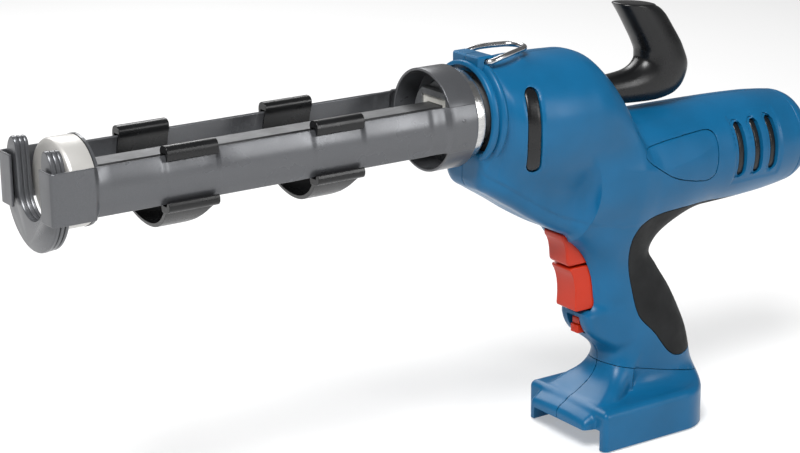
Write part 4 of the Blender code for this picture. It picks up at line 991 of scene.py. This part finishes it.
def swivel_ring():
    profile = [(-3.4, 25.2), (-2.8, 25.9), (3, 25.9), (3.6, 25.2), (3.6, 20.6), (-3.4, 20.6)]
    turned("zinc_swivel_ring", rounded_profile(profile, 0.5, 3), "housing", "bright_zinc", 50,
           ["swivel_ring"], count=144)


def cradle_outline():
    """Half outline of a clip-on saddle, from its trough's bottom to its top hook."""
    inside = arc_points(28.4, -90, -40, 14)[1:] + arc_points(25.2, -34, 26, 18)
    hook = [
        (22, 14.2), (22.3, 15.6), (23.4, 16.8), (25.2, 17.4), (27.2, 17.3), (28.9, 16.4),
        (29.8, 14.8), (30.1, 12.8), (29.7, 10.2), (29, 9.5), (28.4, 9.5), (28, 10.4), (27.7, 13.3),
        (23.3, 13.3)]
    liner = arc_points(26.6, 27, -27.5, 18)
    bead = [
        (23.1, -14.1), (26.9, -14.1), (27.3, -12.4), (28.2, -11.6), (29.2, -11.8), (29.9, -13.2),
        (29.8, -15.2), (28.9, -16.6), (27.6, -17.3), (26.4, -17.5)]
    outside = arc_points(30.6, -36, -90, 16)[:-1]
    right = [(0, -28.4)] + inside + hook + liner + bead + outside + [(0, -30.6)]
    return right + [(-y, z) for y, z in right[-2:0:-1]]


CRADLE_L = 29.2


def cradle(word, start):
    """Saddle whose trough is cut back in a curve at both ends."""
    end = start + CRADLE_L
    obj = mesh_piece(f"{word}_saddle", *prism(cradle_outline(), "X", start, end),
                     "cartridge_holder", "black_plastic", 35, [f"{word}_cradle"])
    rear_cut = [(end + 5, -17.6), (end - 0.6, -17.6), (end - 2.4, -19.6), (end - 4.2, -23),
                (end - 6.6, -26.4), (end - 10.5, -29.4), (end - 15, -31), (end - 15, -40),
                (end + 5, -40)]
    front_cut = [(start - 5, -17.6), (start + 0.5, -17.6), (start + 1, -20.5),
                 (start + 2.2, -26), (start + 3.4, -31), (start + 3.4, -40),
                 (start - 5, -40)]
    for outline in (rear_cut, front_cut):
        cutter = linked("cutter", solid_mesh("cutter", *prism(outline, "Y", -45, 45)))
        step = obj.modifiers.new("cut", "BOOLEAN")
        step.object, step.operation, step.solver = cutter, "DIFFERENCE", "EXACT"
        result = evaluated(obj)
        obj.modifiers.clear()
        obj.data = result
        bpy.data.objects.remove(cutter)
    shaded(obj.data, 35)
    bevelled(obj, 0.3, 40)


front_plate()
for side, word in SIDES:
    rail(side, word)
weld_dimples()
collar()
swivel_ring()
cradle("front", -195.8)
cradle("rear", -108.2)

# ---- rod and handle

def pusher():
    front, rear = -245.5, -231
    profile = [(front, 0.2), (front, 20.2), (front + 0.3, 21.6), (front + 1, 22.7),
               (front + 2.4, 23.4), (rear, 23.4), (rear, 12.4), (front + 3.2, 12.4),
               (front + 3.2, 0.2)]
    obj = turned("pusher_dish", rounded_profile(profile, 0.4, 2), "feed_rod", "bright_zinc", 40,
                 ["pusher_plate"], count=144)
    obj.data.materials[0] = MATERIALS["satin_zinc"]


HANDLE = [  # step, inner point (x, z), outer point (x, z), half width, squareness
    (0, 97.4, 7.4, 97.4, -9, 8.4, 1), (1, 112, 8.2, 112, -9.8, 8.8, 1),
    (2, 122, 9.2, 126, -11, 9.6, 0.98), (3, 128, 11, 142, -11.6, 10.6, 0.94),
    (4, 131.5, 13.2, 156, -9.6, 11.6, 0.9), (5, 133.4, 16, 165, -2.5, 12.2, 0.86),
    (6, 133.2, 19.5, 168.2, 7.5, 12.4, 0.86), (7, 130.8, 25, 164, 19.5, 12.2, 0.86),
    (8, 125.5, 34, 155.8, 32.5, 11.8, 0.86), (9, 119.8, 43, 150, 40.6, 11.3, 0.86),
    (10, 117, 47, 146, 44.3, 11, 0.86), (11, 115.6, 49, 142.6, 46.2, 10.7, 0.86)]


def handle_rings():
    curves = [spline(HANDLE, k) for k in range(1, 7)]
    rings = []
    for step in np.linspace(0, 11, 78):
        inner_x, inner_z, outer_x, outer_z, width, square = (float(c(step)) for c in curves)
        x, z = (inner_x + outer_x) / 2, (inner_z + outer_z) / 2
        ring = []
        for i in range(48):
            a = 2 * pi * i / 48
            c, s = cos(a), sin(a)
            share = copysign(abs(c) ** square, c)
            across = width * copysign(abs(s) ** square, s)
            ring.append((x + share * (inner_x - x), across, z + share * (inner_z - z)))
        rings.append(ring)
    return rings


def handle():
    """Finger handle, closed by a slightly crowned top with a rounded edge."""
    rings = handle_rings()
    last = np.asarray(rings[-1])
    centre = np.mean(last, axis=0)
    for inward, up in ((0.015, 0.4), (0.05, 0.72), (0.11, 0.88), (0.4, 1.1), (0.7, 1.2)):
        rings.append([tuple(centre * inward + p * (1 - inward) + (0, 0, up)) for p in last])
    mesh_piece("finger_handle", *loft(rings), "feed_rod", "black_plastic", 50, ["pull_handle"])


pusher()
handle()

# ---- triggers and ring

ROUND_EDGE = (1.3, 28, 3)           # bevel of the blades: width, angle, segments


def red_block(name, outline, y_ends, body, bevel, nodes=()):
    """A red moulding cut from an outline in the x-z plane."""
    obj = mesh_piece(name, *prism(outline, "Y", *y_ends), body, "red_plastic", 40, nodes)
    bevelled(obj, *bevel)


def triggers():
    blade = [
        (71, -83.8), (72.6, -86.2), (73.7, -89), (74.3, -92), (74.6, -95.4), (74.9, -98.8),
        (75.6, -100.6), (77, -101.3), (95.4, -101.3), (95.4, -82.2), (80, -81.2), (70.7, -80.6)]
    red_block("upper_trigger_blade", blade, (-9, 9), "upper_trigger", ROUND_EDGE,
              ["upper_trigger"])
    lug = rounded_profile([(80.9, -83), (88.1, -83), (88.1, -71.4), (80.9, -71.4)], 3, 5)
    red_block("upper_trigger_lug", lug, (-6, 6), "upper_trigger", (0.4,))
    lower = [
        (77.2, -104.2), (78.8, -106.8), (80, -110), (80.8, -113.6), (81.3, -117.6), (81.4, -121.6),
        (81.2, -125.6), (81, -128.4), (81.3, -129.6), (82.3, -130.3), (96, -130.3), (96, -102.7),
        (78.4, -102.7), (77.3, -103.2)]
    red_block("lower_trigger_blade", lower, (-9, 9), "lower_trigger", ROUND_EDGE,
              ["lower_trigger"])


def lock_slider():
    upper = [(90, -136.3), (93.4, -136.3), (93.4, -141.2), (89, -141.2), (89, -137.6)]
    red_block("lock_slider_stem", upper, (-3, 3.4), "lock_slider", (0.35,), ["lock_slider"])
    ridged = [(93.4, -141.4), (93.4, -146.6)]
    for z in np.linspace(-146.4, -141.6, 13):
        wave = 0.35 * (1 if int(round((z + 146.4) / 0.4)) % 2 else 0)
        ridged.append((87.7 + wave, z))
    red_block("lock_slider_thumb", ridged, (-3.4, 3.4), "lock_slider", (0.2,))


def hang_ring():
    """Bent wire: both ends in the lug, widening, then one round far end."""
    x0, z0 = HANG_X, HANG_Z
    half = [(x0, 11, z0), (x0, 12.8, z0), (x0 + 0.8, 13.9, z0 + 0.1), (x0 + 3, 14.5, z0 + 0.7),
            (x0 + 9, 14.5, z0 + 2.2), (x0 + 16, 13.2, z0 + 3)]
    far = x0 + 33
    bend = [(far - 9 + 9 * cos(a), 9.4 * sin(a), z0 + 3.4)
            for a in np.linspace(radians(80), radians(-80), 15)]
    path = half + bend + [(x, -y, z) for x, y, z in half[::-1]]
    curve = bpy.data.curves.new("wire", "CURVE")
    curve.dimensions = "3D"
    curve.bevel_depth = 0.0016
    curve.bevel_resolution = 6
    curve.use_fill_caps = True
    curve.resolution_u = 8
    line = curve.splines.new("NURBS")
    line.points.add(len(path) - 1)
    for target, point in zip(line.points, placed(path)):
        target.co = (*point, 1)
    line.use_endpoint_u = True
    line.order_u = 4
    holder = linked("wire", curve)
    mesh = evaluated(holder)
    bpy.data.objects.remove(holder)
    obj = linked("hanging_loop", mesh)
    mesh.shade_smooth()
    mesh.materials.clear()
    mesh.materials.append(MATERIALS["chrome"])
    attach(obj, "hang_ring")
    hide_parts("hang_ring")


triggers()
lock_slider()
hang_ring()

# ---- the stage

LIGHT_TARGET = Vector((0, 0, 0.15))
WORLD_STRENGTH = 0.17
FLOOR_HALF, FLOOR_Z = 6, -0.001
FLOOR_TONE, FLOOR_SPREAD, FLOOR_GLOW = 0.62, 0.005, 0.36


def softbox(name, place, size, power):
    """Rectangular light turned to the middle of the object."""
    light = bpy.data.lights.new(name, "AREA")
    light.shape = "RECTANGLE"
    light.size, light.size_y = size
    light.energy = power
    obj = linked(name, light)
    obj.location = place
    obj.rotation_mode = "QUATERNION"
    obj.rotation_quaternion = (LIGHT_TARGET - obj.location).to_track_quat("-Z", "Y")


def stage():
    bm = bmesh.new()
    bmesh.ops.create_grid(bm, x_segments=1, y_segments=1, size=FLOOR_HALF)
    mesh = bpy.data.meshes.new("floor")
    bm.to_mesh(mesh)
    bm.free()
    floor = linked("floor", mesh)
    floor.location = (0, 0, FLOOR_Z)
    grey = (FLOOR_TONE,) * 3
    mat, tree, shader = shader_tree("pale_floor", grey, 0.9, Specular_IOR_Level=0,
                                    Emission_Color=(1, 1, 1, 1),
                                    Emission_Strength=FLOOR_GLOW)
    tint(tree, shader, noise(tree, 3), [tone - FLOOR_SPREAD for tone in grey],
         [tone + FLOOR_SPREAD for tone in grey])
    floor.data.materials.append(mat)
    bpy.context.scene.view_settings.view_transform = "Standard"
    world = bpy.data.worlds.new("studio")
    world.use_nodes = True
    put(world.node_tree.nodes["Background"], Color=(1, 1, 1, 1), Strength=WORLD_STRENGTH)
    bpy.context.scene.world = world
    softbox("key", (-0.75, -0.75, 1.5), (0.7, 0.7), 39)
    softbox("side", (0.9, -1.5, 0.7), (0.35, 0.9), 9)
    softbox("back", (0.2, 1.4, 1.3), (1.4, 0.8), 20)


CAMERA_TARGET = Vector((-0.0387, 0, 0.1525))
CAMERA_DISTANCE = 1.172
CAMERA_AZIMUTH, CAMERA_ELEVATION, CAMERA_ROLL = 34.12, 16.59, -0.63
CAMERA_LENS = 95.04


def camera():
    """The photo's camera, placed by its angles around the target."""
    a, e = radians(CAMERA_AZIMUTH), radians(CAMERA_ELEVATION)
    ahead = Vector((sin(a) * cos(e), cos(a) * cos(e), -sin(e)))
    data = bpy.data.cameras.new("camera")
    data.lens = CAMERA_LENS
    data.sensor_width = 36
    data.clip_start, data.clip_end = 0.05, 50
    obj = linked("camera", data)
    obj.location = CAMERA_TARGET - CAMERA_DISTANCE * ahead
    turn = ahead.to_track_quat("-Z", "Y").to_matrix() @ Matrix.Rotation(
        radians(CAMERA_ROLL), 3, "Z")
    obj.rotation_mode = "QUATERNION"
    obj.rotation_quaternion = turn.to_quaternion()
    bpy.context.scene.camera = obj


stage()
camera()


def carried_nodes():
    """CAD nodes that stay visible get their own slot's material."""
    slots = {part["node"]: part["material_slot"] for part in frame["record"]["subparts"]}
    for name, obj in frame["nodes"].items():
        for slot in obj.material_slots:
            slot.material = MATERIALS[slots[name]]
        if not obj.material_slots:
            obj.data.materials.append(MATERIALS[slots[name]])


carried_nodes()
